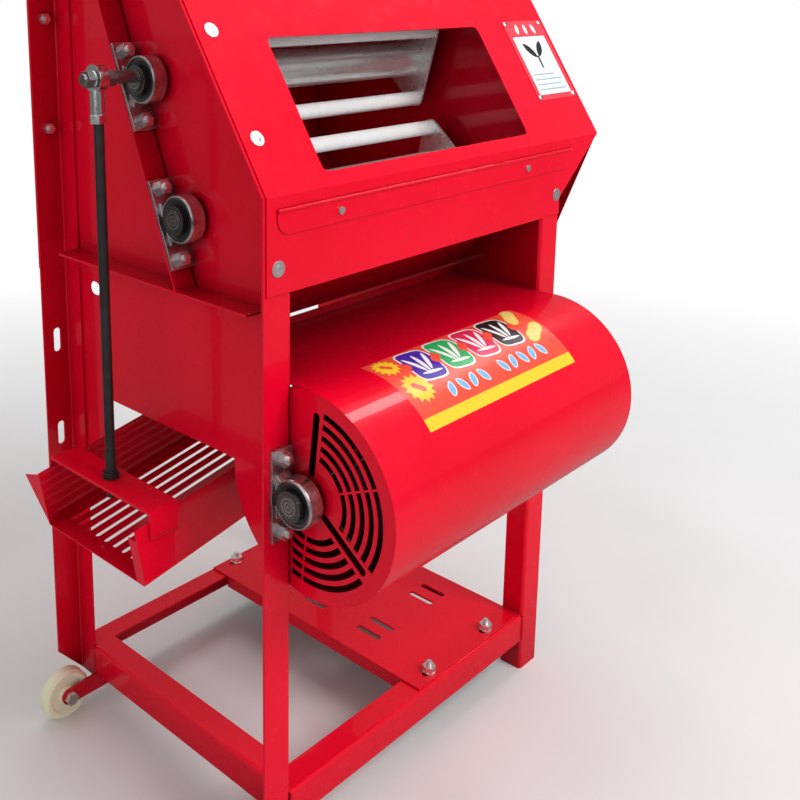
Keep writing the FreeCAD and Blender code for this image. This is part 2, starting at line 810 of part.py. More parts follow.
def insert(x, y, z):
    """Ball bearing insert: outer ring with a wide inner ring and a locking collar."""
    bore = shaft_dia / 2.0 + running_clearance
    seat = bearing_seat_dia / 2.0
    half = insert_width / 2.0
    race = insert_race_width / 2.0
    profile = [(-half, bore), (-half, bore + 5.0), (-race + 2.0, bore + 5.0), (-race + 2.0, seat - 4.0),
               (-race, seat - 4.0), (-race, seat), (race, seat), (race, seat - 4.0),
               (race - 2.0, seat - 4.0), (race - 2.0, bore + 5.0), (half, bore + 5.0), (half, bore)]
    corners = [V(p[0], p[1], 0) for p in profile]
    face = Part.Face(Part.makePolygon(corners + [corners[0]]))
    ring = face.revolve(V(0, 0, 0), V(1, 0, 0), 360.0)
    ring.translate(V(x, y, z))
    return ring


def bearing_places():
    """Each bearing: its middle, and how far its block leans back."""
    places = []
    for x in (bearing_mid, frame_width - bearing_mid):
        places.append((x, lower_y, lower_z, roller_tilt))
        places.append((x, upper_y, upper_z, roller_tilt))
        places.append((x, fan_y, fan_z, 0.0))
    return places


def block_bolt(x, y, z, lean, offset):
    """Hexagon bolt through a bearing foot and its rail, with a nut behind."""
    back = bearing_height
    foot = back - bearing_base_thick
    at = (0.0, offset * bearing_bolt_spacing)
    head = hexagon(nut_across, "Y", foot - nut_height, nut_height, at)
    stem = rod(bearing_bolt_dia / 2.0, "Y", foot - nut_height - 4.0,
               bearing_base_thick + angle_wall + 2.0 * nut_height + 6.0, at)
    nut = hexagon(nut_across, "Y", back + angle_wall, nut_height, at)
    solid = joined([head, stem, nut])
    solid = leaned(solid, lean, 0.0, 0.0)
    solid.translate(V(x, y, z))
    return solid


def build_bearings():
    keep("bearing_housings", *[housing(*p) for p in bearing_places()])
    keep("bearing_inserts", *[insert(p[0], p[1], p[2]) for p in bearing_places()])
    bolts = []
    for place in bearing_places():
        for offset in (-0.5, 0.5):
            bolts.append(block_bolt(place[0], place[1], place[2], place[3], offset))
    keep("bearing_bolts", *bolts)


# Rollers

def roller_core(y, z, phase):
    """Core tube with a three-cornered plate at each end, under the ends of the bars."""
    length = roller_right - roller_left
    core = tube(tube_dia / 2.0, tube_dia / 2.0 - tube_wall, "X",
                roller_left + spider_thick, length - 2.0 * spider_thick, (y, z))
    parts = [core]
    for x in (roller_left, roller_right - spider_thick):
        ends = []
        sides = []
        for k in range(bars_per_roller):
            angle = math.radians(phase + 360.0 * k / bars_per_roller)
            ends.append((bar_circle * math.cos(angle), bar_circle * math.sin(angle)))
        for k in range(bars_per_roller):
            first = ends[k]
            second = ends[(k + 1) % bars_per_roller]
            span = math.hypot(second[0] - first[0], second[1] - first[1])
            out = ((second[1] - first[1]) / span * end_plate_rim,
                   (first[0] - second[0]) / span * end_plate_rim)
            sides.append((y + first[0] + out[0], z + first[1] + out[1]))
            sides.append((y + second[0] + out[0], z + second[1] + out[1]))
        plate = prism(sides, "X", x, spider_thick)
        for end in ends:
            plate = plate.fuse(rod(end_plate_rim, "X", x, spider_thick, (y + end[0], z + end[1])))
        plate = plate.removeSplitter()
        plate = plate.cut(rod(shaft_dia / 2.0, "X", x - 5.0, spider_thick + 10.0, (y, z)))
        parts.append(plate)
    return joined(parts)


def roller_bars(y, z, phase):
    """Round picking bars on their circle, between the end plates."""
    bars = []
    length = roller_right - roller_left - 2.0 * spider_thick
    for k in range(bars_per_roller):
        angle = math.radians(phase + 360.0 * k / bars_per_roller)
        at = (y + bar_circle * math.cos(angle), z + bar_circle * math.sin(angle))
        bars.append(rod(bar_dia / 2.0, "X", roller_left + spider_thick, length, at))
    return bars


def gear(y, z, turned):
    """Spur gear with straight-flanked teeth and a drilled hub."""
    pitch_radius = roller_pitch / 2.0
    tip = pitch_radius + 0.92 * module
    root = pitch_radius - 1.22 * module
    half_pitch = math.pi / gear_teeth / 2.0
    thin = tooth_play / pitch_radius
    outline = []
    for k in range(gear_teeth):
        mid = 2.0 * math.pi * k / gear_teeth + math.radians(turned)
        for radius, half in ((root, half_pitch * 1.72), (pitch_radius, half_pitch - thin),
                             (tip, half_pitch * tooth_tip)):
            outline.append((radius, mid - half))
        for radius, half in ((tip, half_pitch * tooth_tip), (pitch_radius, half_pitch - thin),
                             (root, half_pitch * 1.72)):
            outline.append((radius, mid + half))
    flat = [(y + r * math.cos(a), z + r * math.sin(a)) for r, a in outline]
    body = prism(flat, "X", gear_left, gear_width)
    dish = tube(pitch_radius - 2.6 * module, shaft_dia + 4.0, "X", gear_left - 1.0, 6.0, (y, z))
    body = body.cut(dish)
    dish = tube(pitch_radius - 2.6 * module, shaft_dia + 4.0, "X",
                gear_left + gear_width - 5.0, 6.0, (y, z))
    body = body.cut(dish)
    return body.cut(rod(shaft_dia / 2.0, "X", gear_left - 5.0, gear_width + 10.0, (y, z)))


def build_rollers():
    shaft_left = left_plane - bearing_rail_shelf
    gear_right = gear_left + gear_width
    line = 90.0 - roller_tilt
    half_tooth = 180.0 / gear_teeth
    keep("upper_core", roller_core(upper_y, upper_z, upper_phase))
    keep("upper_bars", *roller_bars(upper_y, upper_z, upper_phase))
    keep("lower_core", roller_core(lower_y, lower_z, lower_phase))
    keep("lower_bars", *roller_bars(lower_y, lower_z, lower_phase))
    keep("upper_gear", gear(upper_y, upper_z, line + 180.0))
    keep("lower_gear", gear(lower_y, lower_z, line + half_tooth))
    end = pulley_left + pulley_width
    keep("upper_shaft", rod(shaft_dia / 2.0, "X", shaft_end(), end - shaft_end(),
                            (upper_y, upper_z)))
    keep("lower_shaft", rod(shaft_dia / 2.0, "X", shaft_left, gear_right - shaft_left + 4.0,
                            (lower_y, lower_z)))
    keep("roller_pulley", pulley(roller_pulley_dia, pulley_left, upper_y, upper_z))


# Crank, connecting rod and shaken tray

def shaft_end():
    """Left end of the upper roller's shaft, just past its bearing."""
    return bearing_mid - insert_width / 2.0 - 2.0


def pin_height():
    return upper_z + crank_throw


def build_crank():
    """Stub turned off-centre on the shaft end, with a threaded pin, spacer and nuts."""
    at = (upper_y, pin_height())
    stub = shaft_end() - crank_hub_length
    eye_right = rod_plane + eye_width / 2.0 + side_clearance
    eye_left = rod_plane - eye_width / 2.0 - side_clearance
    body = rod(shaft_dia / 2.0 - crank_throw, "X", stub, crank_hub_length, at)
    spacer = rod(crank_pin_dia / 2.0 + 2.0, "X", eye_right, 4.0, at)
    lock = hexagon(nut_across + 2.0, "X", eye_right + 4.0, stub - eye_right - 4.0, at)
    pin = rod(crank_pin_dia / 2.0, "X", eye_left - nut_height - 4.0,
              stub - eye_left + nut_height + 4.0, at)
    nut = hexagon(nut_across + 2.0, "X", eye_left - nut_height, nut_height, at)
    keep("crank", joined([body, spacer, lock, pin, nut]))


def bridge_top():
    """Upper face of the strap, which rests on the higher end of the tray walls."""
    wall = tray_wall_height / math.cos(math.radians(tray_slope))
    return tray_height(rod_plane + bridge_width / 2.0) + wall + bridge_thick + bend_radius


def tray_height(x):
    return tray_floor + (x - tray_outlet) * slope


def build_rod():
    """Rod end with a ball eye, threaded rod, and its clamping nuts on the strap."""
    z = pin_height()
    y = upper_y
    eye = rod(eye_dia / 2.0, "X", rod_plane - eye_width / 2.0 + 2.0, eye_width - 4.0, (y, z))
    ball = Part.makeSphere(eye_dia / 2.0 - 4.5, V(rod_plane, y, z))
    ball = ball.common(rod(eye_dia, "X", rod_plane - eye_width / 2.0, eye_width, (y, z)))
    shank = rod(rod_nut_across / 2.0 - 0.7, "Z", z - shank_length, shank_length - 12.0, (rod_plane, y))
    collar = hexagon(rod_nut_across, "Z", z - shank_length, 10.0, (rod_plane, y))
    body = joined([eye, ball, shank, collar])
    body = body.cut(rod(crank_pin_dia / 2.0 + running_clearance, "X",
                        rod_plane - eye_width, 2.0 * eye_width, (y, z)))
    body = body.cut(rod(rod_dia / 2.0, "Z", z - shank_length - 1.0, 25.0, (rod_plane, y)))
    keep("rod_end", body)
    top = z - shank_length + 24.0
    low = bridge_top() - bridge_thick - nut_height - 12.0
    keep("connecting_rod", rod(rod_dia / 2.0, "Z", low, top - low, (rod_plane, y)))
    nuts = []
    for start in (bridge_top(), bridge_top() - bridge_thick - nut_height):
        nut = hexagon(rod_nut_across, "Z", start, nut_height, (rod_plane, y))
        nuts.append(nut.cut(rod(rod_dia / 2.0, "Z", start - 1.0, nut_height + 2.0,
                                (rod_plane, y))))
    keep("rod_nuts", *nuts)


def sloped(solid):
    """Tip a level tray piece so that it falls towards the outlet."""
    solid.rotate(V(tray_outlet, 0, tray_floor), V(0, 1, 0), -tray_slope)
    return solid


def build_tray():
    """Sieve trough: slotted floor, two folded walls, a flared cheek at the outlet."""
    y0 = tray_front()
    y1 = y0 + tray_width
    top = tray_floor + tray_wall_height
    path = [(y0, top), (y0, tray_floor), (y1, tray_floor), (y1, top)]
    body = folded(path, sheet, bend_radius, "X", tray_outlet, tray_length)
    usable = tray_length - 2.0 * tray_slot_margin
    length = usable / tray_slot_rows - tray_slot_margin
    for row in range(tray_slot_rows):
        x = tray_outlet + tray_slot_margin * 1.5 + (row + 0.5) * usable / tray_slot_rows
        x -= tray_slot_margin / 2.0
        for k in range(tray_slot_count):
            y = tray_middle + (k - (tray_slot_count - 1) / 2.0) * tray_slot_pitch
            body = body.cut(slot(length, tray_slot_width, "Z", tray_floor - 5.0, 12.0, (x, y)))
    hole = hanger_rod_dia / 2.0 + crank_throw + hanger_play
    body = body.cut(rod(hole, "Y", y0 - 5.0, tray_width + 10.0,
                        (tray_outlet + tray_length - hanger_inset,
                         tray_floor + tray_wall_height / 2.0)))
    lip = box(tray_outlet, tray_outlet + sheet, y0 + sheet, y0 + 16.0,
              tray_floor + sheet, top - 14.0)
    wing = prism([(y1 - 0.2, tray_floor + 4.0), (y1 + flare, top - 14.0), (y1 - 0.2, top - 2.0)],
                 "X", tray_outlet, sheet)
    body = joined([body, lip, wing])
    keep("tray", sloped(body))


def build_bridge():
    """Strap over the tray that takes the foot of the connecting rod."""
    y0 = tray_front()
    y1 = y0 + tray_width
    x0 = rod_plane - bridge_width / 2.0
    top = bridge_top()
    low = top - bridge_lap - 8.0
    path = [(y1 + bridge_thick, low), (y1 + bridge_thick, top), (y0 - bridge_thick, top),
            (y0 - bridge_thick, low)]
    strap = folded(path, bridge_thick, bend_radius, "X", x0, bridge_width)
    strap = strap.cut(rod(rod_dia / 2.0, "Z", top - 20.0, 30.0, (rod_plane, upper_y)))
    keep("tray_bridge", strap)


def hanger_at():
    """Cross rod under the tray's hanging hole, with the crank pin at the top."""
    along = tray_length - hanger_inset
    up = tray_wall_height / 2.0
    angle = math.radians(tray_slope)
    return (tray_outlet + along * math.cos(angle) - up * math.sin(angle),
            tray_floor + along * math.sin(angle) + up * math.cos(angle) - crank_throw)


def build_hanger():
    """Cross rod at the tray's upper end, held by two plates on the duct side."""
    x, z = hanger_at()
    y0 = hanger_front() + hanger_wall
    y1 = tray_front() + tray_width + crank_throw + hanger_gap
    parts = [rod(hanger_rod_dia / 2.0, "Y", y0 - hanger_wall, y1 - y0 + 2.0 * hanger_wall, (x, z))]
    for y in (y0 - hanger_wall, y1):
        outline = [(x - 16.0, z - 14.0), (inner_right, z - 14.0), (inner_right, z + 40.0),
                   (x - 16.0, z + 14.0)]
        parts.append(prism(outline, "Y", y, hanger_wall))
    keep("tray_hanger", joined(parts))


# Motor plate

def build_motor_plate():
    """Slotted plate for a motor, bolted across the front and rear rails."""
    top = rail_top + plate_thick
    left = plate_left
    right = plate_left + plate_width
    body = box(left, right, 4.0, frame_depth - 4.0, rail_top, top)
    curb = box(left, left + plate_thick, rail_shelf + 4.0, frame_depth - rail_shelf - 4.0,
               rail_top - plate_flange, top)
    body = joined([body, curb])
    for column in motor_slot_columns:
        for row in motor_slot_rows:
            body = body.cut(slot(motor_slot_length, motor_slot_width, "Z", rail_top - 5.0, 18.0,
                                 (left + column, row), 90.0))
    for x in plate_bolt_places():
        for y in (rail_shelf / 2.0, frame_depth - rail_shelf / 2.0):
            body = body.cut(slot(26.0, panel_bolt_dia + 1.0, "Z", rail_top - 5.0, 18.0, (x, y)))
    keep("motor_plate", body)
    bolts = []
    for x in plate_bolt_places():
        for y in (rail_shelf / 2.0, frame_depth - rail_shelf / 2.0):
            washer = rod(nut_across / 2.0 + 1.0, "Z", top, 1.6, (x, y))
            nut = hexagon(nut_across, "Z", top + 1.6, nut_height, (x, y))
            stem = rod(panel_bolt_dia / 2.0, "Z", rail_top - angle_wall,
                       plate_thick + angle_wall + nut_height + 8.0, (x, y))
            head = hexagon(nut_across, "Z", rail_top - angle_wall - 6.0, 6.0, (x, y))
            bolts.append(joined([washer, nut, stem, head]))
    keep("motor_plate_bolts", *bolts)


# Wheels

def wheel_y(front):
    return wheel_set_in if front else frame_depth - wheel_set_in


def arm_start(front):
    """Front face of the wheel arm, on the machine's side of the wheel."""
    gap = wheel_width / 2.0 + 1.0
    if front:
        return wheel_y(front) + gap
    return wheel_y(front) - gap - arm_thick


def build_wheels():
    height = wheel_dia / 2.0
    arms = []
    axles = []
    for front in (True, False):
        name = "wheel_front" if front else "wheel_rear"
        centre = wheel_y(front)
        keep(name, wheel(centre, height))
        start = arm_start(front)
        top = rail_top - rail_drop
        root = left_plane - angle_wall
        outline = [(wheel_x, height - arm_height / 2.0), (root + 26.0, height - arm_height / 2.0),
                   (root + 26.0, top), (root - 4.0, top), (wheel_x, height + arm_height / 2.0)]
        arm = prism(outline, "Y", start, arm_thick)
        arm = arm.fuse(rod(arm_height / 2.0, "Y", start, arm_thick, (wheel_x, height)))
        arm = arm.removeSplitter().cut(rod(axle_dia / 2.0, "Y", start - 1.0, arm_thick + 2.0,
                                           (wheel_x, height)))
        arms.append(arm)
        axles.append(axle(front, centre, start, height))
    keep("wheel_arms", *arms)
    keep("wheel_axles", *axles)


def wheel(centre, height):
    """Solid moulded wheel with a dished face and a round-shouldered tread."""
    outer = wheel_dia / 2.0
    half = wheel_width / 2.0
    bore = axle_dia / 2.0 + running_clearance
    profile = [(bore, -half), (bore + 6.0, -half), (bore + 8.0, -half + 5.0),
               (outer - 12.0, -half + 5.0), (outer - 9.0, -half), (outer - 4.0, -half),
               (outer, -half + 4.0), (outer, half - 4.0), (outer - 4.0, half),
               (outer - 9.0, half), (outer - 12.0, half - 5.0), (bore + 8.0, half - 5.0),
               (bore + 6.0, half), (bore, half)]
    corners = [V(p[0], p[1], 0) for p in profile]
    face = Part.Face(Part.makePolygon(corners + [corners[0]]))
    body = face.revolve(V(0, 0, 0), V(0, 1, 0), 360.0)
    body.translate(V(wheel_x, centre, height))
    return body


def axle(front, centre, start, height):
    """Axle bolt: head beyond the wheel, nut on the far side of the arm."""
    half = wheel_width / 2.0 + 1.0
    way = 1.0 if front else -1.0
    head = centre - way * (half + 6.0)
    tail = start + arm_thick if front else start
    end = tail + way * nut_height
    low = min(head, end)
    stem = rod(axle_dia / 2.0, "Y", low, abs(end - head), (wheel_x, height))
    cap = hexagon(nut_across, "Y", min(head, head + way * 6.0), 6.0, (wheel_x, height))
    nut = hexagon(nut_across, "Y", min(tail, end), nut_height, (wheel_x, height))
    return joined([stem, cap, nut])


# Small fasteners

def dome_bolt(x, y, z, lean, through):
    """Dome-headed bolt set square to a panel that leans back, with a nut behind."""
    head = Part.makeSphere(dome_dia, V(0, 0, 0))
    sink = math.sqrt(dome_dia ** 2 - (dome_dia / 2.0) ** 2)
    head.translate(V(0, sink - sheet, 0))
    head = head.common(box(-dome_dia, dome_dia, -sheet - dome_height, -sheet, -dome_dia, dome_dia))
    stem = rod(panel_bolt_dia / 2.0, "Y", -sheet - 0.5, sheet + through + nut_height + 2.5, (0.0, 0.0))
    nut = hexagon(nut_across - 3.0, "Y", through, nut_height - 2.0, (0.0, 0.0))
    solid = joined([head, stem, nut])
    solid = leaned(solid, lean, 0.0, 0.0)
    solid.translate(V(x, y, z))
    return solid


def build_fasteners():
    bolts = []
    for x, along in hood_leaning_bolts():
        y, z = slant_point(along)
        bolts.append(dome_bolt(x, y, z, hood_tilt, angle_wall))
    for x in hood_upright_bolts():
        bolts.append(dome_bolt(x, 0.0, hood_bolt()[1], 0.0, angle_wall))
    keep("hood_bolts", *bolts)
    rear = []
    for x in (leg_flange / 2.0, frame_width - leg_flange / 2.0):
        for z in rear_bolt_heights():
            nut = hexagon(nut_across - 3.0, "Y", frame_depth - angle_wall - 6.0, 6.0, (x, z))
            stem = rod(panel_bolt_dia / 2.0, "Y", frame_depth - angle_wall - 11.0,
                       angle_wall + 11.0 + sheet + 3.0, (x, z))
            head = rod(dome_dia / 2.0, "Y", frame_depth + sheet, dome_height, (x, z))
            rear.append(joined([nut, stem, head]))
    keep("rear_panel_bolts", *rear)
    screws = []
    for x in strip_screw_places():
        z = strip_screw_height()
        head = rod(4.5, "Y", -2.0 * sheet - 2.4, 2.4, (x, z))
        stem = rod(2.6, "Y", -2.0 * sheet - 1.0, 1.0 + sheet, (x, z))
        screws.append(joined([head, stem]))
    keep("strip_screws", *screws)


def build_all():
    build_legs()
    build_rails()
    build_stiles()
    build_bearing_rails()
    build_side_members()
    build_side_panels()
    build_front_panel()
    build_strip()
    build_rear_and_top()
    build_guard()
    build_guides()
    build_casing()
    build_grilles()
    build_fan_rotor()
    build_bearings()
    build_rollers()
    build_crank()
    build_rod()
    build_tray()
    build_bridge()
    build_hanger()
    build_motor_plate()
    build_wheels()
    build_fasteners()


def export_all():
    bounds = FreeCAD.BoundBox()
    for solids in pieces.values():
        for solid in solids:
            bounds.add(solid.BoundBox)
    shift = V(-(bounds.XMin + bounds.XMax) / 2.0, -(bounds.YMin + bounds.YMax) / 2.0, -bounds.ZMin)
    print("shift", round(shift.x, 3), round(shift.y, 3), round(shift.z, 3))
    print("size", round(bounds.XLength, 2), round(bounds.YLength, 2), round(bounds.ZLength, 2))
    os.makedirs("parts", exist_ok=True)
    for name, solids in pieces.items():
        shape = solids[0] if len(solids) == 1 else Part.makeCompound(solids)
        shape = shape.copy()
        shape.translate(shift)
        shape.exportStep("parts/" + name + ".step")
    return shift


build_all()
move = export_all()
print("nodes", len(pieces))
spots = {
    "upper_roller_spin": V(middle, upper_y, upper_z),
    "lower_roller_spin": V(middle, lower_y, lower_z),
    "fan_spin": V(middle, fan_y, fan_z),
    "crank_pin": V(rod_plane, upper_y, pin_height()),
    "wheel_front": V(wheel_x, wheel_y(True), wheel_dia / 2.0),
    "wheel_rear": V(wheel_x, wheel_y(False), wheel_dia / 2.0),
}
for name, spot in spots.items():
    spot = spot + move
    print(name, round(spot.x, 3), round(spot.y, 3), round(spot.z, 3))
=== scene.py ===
import json
import math

import bmesh
import bpy
from mathutils import Matrix, Vector


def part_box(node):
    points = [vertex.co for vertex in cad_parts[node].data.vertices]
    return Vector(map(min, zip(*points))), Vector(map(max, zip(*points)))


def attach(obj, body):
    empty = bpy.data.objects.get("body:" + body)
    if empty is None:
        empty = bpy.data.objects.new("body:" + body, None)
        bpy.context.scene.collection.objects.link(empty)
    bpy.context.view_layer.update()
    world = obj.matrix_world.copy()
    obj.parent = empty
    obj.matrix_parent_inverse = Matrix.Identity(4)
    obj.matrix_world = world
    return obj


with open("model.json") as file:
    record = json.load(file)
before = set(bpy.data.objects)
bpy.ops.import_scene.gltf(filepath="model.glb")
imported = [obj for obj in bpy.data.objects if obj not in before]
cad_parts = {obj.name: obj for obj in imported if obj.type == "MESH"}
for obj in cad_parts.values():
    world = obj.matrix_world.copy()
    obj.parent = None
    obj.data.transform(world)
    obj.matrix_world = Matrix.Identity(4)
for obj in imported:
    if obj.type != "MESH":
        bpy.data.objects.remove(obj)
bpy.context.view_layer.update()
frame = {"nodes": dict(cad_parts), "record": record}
nodes = frame["nodes"]
scene = bpy.context.scene

MM = 1000.0  # millimetres in a metre


def middle(piece):
    """Middle of the box round a piece."""
    return [(low + high) / 2.0 for low, high in zip(*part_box(piece))]


# Places on the machine, read from its pieces. The left legs' outer edge and the front
# legs' front face are where the drawing starts to measure.
LEFT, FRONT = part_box("leg_front_left")[0][:2]
DRUM = middle("fan_shaft")
DRUM_RADIUS = 0.122
SHEET = 0.0015
HOOD_TILT = math.radians(33.0)
HOOD_WAY = Vector((0.0, -math.cos(HOOD_TILT), math.sin(HOOD_TILT)))
BEND_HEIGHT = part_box("stile_left")[0][2]
BLOCK_LEAN = math.radians(22.4)
CRANK_THROW = 0.005
PIN_HEIGHT = middle("upper_shaft")[2] + CRANK_THROW
UPWARD, DOWNWARD = (0.0, 0.0, 1.0), (0.0, 0.0, -1.0)
FORWARD, LEFTWARD = (0.0, -1.0, 0.0), (-1.0, 0.0, 0.0)


def place(x, y, z):
    """Point given in millimetres on the drawing, as metres in the scene."""
    return Vector((LEFT + x / MM, FRONT + y / MM, z / MM))


def add_object(name, data):
    """New object in the scene."""
    made = bpy.data.objects.new(name, data)
    scene.collection.objects.link(made)
    return made


def plain_mesh(name, built):
    """Mesh from a bmesh, which is freed."""
    mesh = bpy.data.meshes.new(name)
    built.to_mesh(mesh)
    built.free()
    return mesh


# ---------------------------------------------------------------- materials

class Tree:
    """Node tree with short calls to add, feed and join nodes."""

    def __init__(self, tree):
        self.tree = tree

    def node(self, kind, **values):
        made = self.tree.nodes.new(kind)
        for key, value in values.items():
            setattr(made, key, value)
        return made

    def join(self, source, target):
        self.tree.links.new(source, target)

    def feed(self, source, target):
        """Joins an output to an input, or sets a plain value on it."""
        if isinstance(source, bpy.types.NodeSocket):
            self.join(source, target)
        else:
            target.default_value = source

    def put(self, made, **sources):
        """Feeds a node's inputs by name."""
        for key, source in sources.items():
            self.feed(source, made.inputs[key.replace("_", " ")])
        return made

    def calc(self, operation, *values):
        made = self.node("ShaderNodeMath", operation=operation)
        for value, socket in zip(values, made.inputs):
            self.feed(value, socket)
        return made.outputs[0]


# Sockets of a mixing node that is set to colour.
MIX_AMOUNT, MIX_FIRST, MIX_SECOND, MIX_RESULT = 0, 6, 7, 2


class Finish(Tree):
    """One material and its node tree, with short calls for what finishes are made of."""

    def __init__(self, name):
        self.material = bpy.data.materials.new(name)
        self.material.use_nodes = True
        super().__init__(self.material.node_tree)
        self.shader = self.tree.nodes["Principled BSDF"]
        self.place = self.node("ShaderNodeTexCoord").outputs["Object"]

    def stretched(self, scale):
        """Object place scaled by three factors, for brushed and drawn surfaces."""
        made = self.put(self.node("ShaderNodeMapping"), Scale=scale, Vector=self.place)
        return made.outputs["Vector"]

    def noise(self, scale, detail=3.0, rough=0.5, spot=None):
        made = self.put(self.node("ShaderNodeTexNoise"), Scale=scale, Detail=detail, Roughness=rough,
                        Vector=spot or self.place)
        return made.outputs["Fac"]

    def cells(self, scale, output="Distance"):
        made = self.put(self.node("ShaderNodeTexVoronoi"), Scale=scale, Vector=self.place)
        return made.outputs[output]

    def ramp(self, source, start, end, first=0.0, last=1.0):
        """Grey that goes from the first value at the start to the last value at the end."""
        made = self.node("ShaderNodeValToRGB")
        stops = zip(made.color_ramp.elements, (start, end), (first, last))
        for element, position, grey in stops:
            element.position = position
            element.color = (grey, grey, grey, 1.0)
        self.join(source, made.inputs["Fac"])
        return made.outputs["Color"]

    def mix(self, amount, first, second):
        """Colour from the first to the second, by an amount from nought to one."""
        made = self.node("ShaderNodeMix", data_type="RGBA")
        self.join(amount, made.inputs[MIX_AMOUNT])
        for colour, socket in ((first, made.inputs[MIX_FIRST]), (second, made.inputs[MIX_SECOND])):
            self.feed((*colour, 1.0) if isinstance(colour, tuple) else colour, socket)
        return made.outputs[MIX_RESULT]

    def height(self):
        """Height above the floor, in metres."""
        made = self.node("ShaderNodeSeparateXYZ")
        self.join(self.place, made.inputs[0])
        return made.outputs["Z"]

    def edges(self, radius):
        """One along sharp edges, nought on flat faces, from the rounding of the normal."""
        rounded = self.put(self.node("ShaderNodeBevel", samples=3), Radius=radius)
        flat = self.node("ShaderNodeNewGeometry")
        dot = self.node("ShaderNodeVectorMath", operation="DOT_PRODUCT")
        self.join(rounded.outputs["Normal"], dot.inputs[0])
        self.join(flat.outputs["Normal"], dot.inputs[1])
        return self.ramp(dot.outputs["Value"], 0.72, 0.97, 1.0, 0.0)

    def painted_nook_shade(self, reach):
        """One deep in covered places, nought in the open: how much painted shade lies on the coat."""
        covered = self.put(self.node("ShaderNodeAmbientOcclusion", samples=3), Distance=reach)
        return self.ramp(covered.outputs["AO"], 0.15, 0.58, 0.92, 0.0)

    def bump(self, layers, rounding=0.0):
        """Stack of bumps from (height source, strength, distance) layers, over rounded edges."""
        normal = None
        if rounding:
            rounded = self.put(self.node("ShaderNodeBevel", samples=4), Radius=rounding)
            normal = rounded.outputs["Normal"]
        for source, strength, distance in layers:
            made = self.put(self.node("ShaderNodeBump"), Strength=strength, Distance=distance,
                            Height=source)
            if normal is not None:
                self.join(normal, made.inputs["Normal"])
            normal = made.outputs["Normal"]
        self.join(normal, self.shader.inputs["Normal"])

    def set(self, **values):
        """Sets plain values on the shader."""
        self.put(self.shader, **values)


# Colours that lie over the coat: dust, rubbed paint, and painted shade in covered places.
DUST, RUBBED, PAINTED_SHADE = (0.36, 0.16, 0.10), (0.30, 0.02, 0.03), (0.10, 0.0004, 0.004)
LATHE_RINGS = 1500.0  # radians of the ring pattern in a metre


def red_coat(name, colour, deep):
    """Glossy powder coat: faint orange peel, slack sheet waves, rubbed edges, dust near the floor, painted
    shade in covered places.
    """
    f = Finish(name)
    base = f.mix(f.ramp(f.noise(4.0, 2.0), 0.35, 0.7), colour, deep)
    low = f.ramp(f.height(), 0.0, 0.16, 1.0, 0.0)
    specks = f.ramp(f.noise(420.0, 5.0, 0.7), 0.50, 0.74)
    dust = f.calc("MULTIPLY", f.calc("MULTIPLY", low, specks), 0.22)
    base = f.mix(dust, base, DUST)
    worn = f.ramp(f.noise(90.0, 5.0, 0.7), 0.56, 0.66)
    worn = f.calc("MULTIPLY", f.calc("MULTIPLY", f.edges(0.0011), worn), 0.55)
    base = f.mix(worn, base, RUBBED)
    # Painted shade: the coat turns dark where ambient occlusion finds near surfaces, in recesses and under
    # the hood.
    base = f.mix(f.painted_nook_shade(0.26), base, PAINTED_SHADE)
    f.join(base, f.shader.inputs["Base Color"])
    gloss = f.ramp(f.noise(38.0, 4.0), 0.3, 0.75, 0.20, 0.31)
    f.join(f.calc("ADD", gloss, f.calc("MULTIPLY", dust, 0.8)), f.shader.inputs["Roughness"])
    f.bump([(f.noise(6.0, 1.0), 0.10, 0.006), (f.noise(460.0, 2.0), 0.06, 0.0002)], 0.0011)
    f.set(Specular_IOR_Level=0.10, Coat_Weight=0.36, Coat_Roughness=0.03)
    return f.material


def bare_steel(name, colour, deep, rough, brush, metallic=1.0, patchy=0.12):
    """Metal with brush or drawing marks along one direction, a dull film in patches, and a painted highlight
    on its sharp edges.
    """
    f = Finish(name)
    rounding = 0.0006
    lines = f.noise(260.0, 3.0, 0.6, f.stretched(brush))
    film = f.noise(34.0, 5.0, 0.65)
    base = f.mix(f.ramp(film, 0.35, 0.72), colour, deep)
    # Painted highlight: a lighter colour along the sharp edges.
    bright = tuple(min(1.0, 1.25 * c + 0.12) for c in colour)
    base = f.mix(f.calc("MULTIPLY", f.edges(rounding), 0.6), base, bright)
    f.join(base, f.shader.inputs["Base Color"])
    grey = f.ramp(lines, 0.25, 0.8, max(0.04, rough - 0.09), rough + 0.12)
    f.join(f.calc("ADD", grey, f.calc("MULTIPLY", f.ramp(film, 0.4, 0.8), patchy)),
           f.shader.inputs["Roughness"])
    f.bump([(lines, 0.10, 0.0003)], rounding)
    f.set(Metallic=metallic)
    return f.material


def turned_steel(name, piece):
    """Oiled shaft steel with the rings a lathe leaves round the axis of its piece, and a painted highlight
    on its sharp edges.
    """
    f = Finish(name)
    axis = middle(piece)
    across = f.node("ShaderNodeVectorMath", operation="MULTIPLY_ADD")
    across.inputs[1].default_value = (0.0, 1.0, 1.0)
    across.inputs[2].default_value = (0.0, -axis[1], -axis[2])
    f.join(f.place, across.inputs[0])
    reach = f.node("ShaderNodeVectorMath", operation="LENGTH")
    f.join(across.outputs[0], reach.inputs[0])
    rings = f.calc("SINE", f.calc("MULTIPLY", reach.outputs["Value"], LATHE_RINGS))
    film = f.noise(60.0, 4.0, 0.6)
    base = f.mix(f.ramp(rings, 0.1, 0.9), (0.22, 0.205, 0.20), (0.66, 0.63, 0.62))
    base = f.mix(f.calc("MULTIPLY", f.ramp(film, 0.4, 0.75), 0.45), base, (0.17, 0.15, 0.14))
    # Painted highlight: a lighter colour along the sharp edges.
    base = f.mix(f.calc("MULTIPLY", f.edges(0.0008), 0.7), base, (0.80, 0.78, 0.78))
    f.join(base, f.shader.inputs["Base Color"])
    f.join(f.ramp(film, 0.3, 0.8, 0.20, 0.40), f.shader.inputs["Roughness"])
    f.bump([(rings, 0.25, 0.0002)], 0.0008)
    f.set(Metallic=1.0)
    return f.material


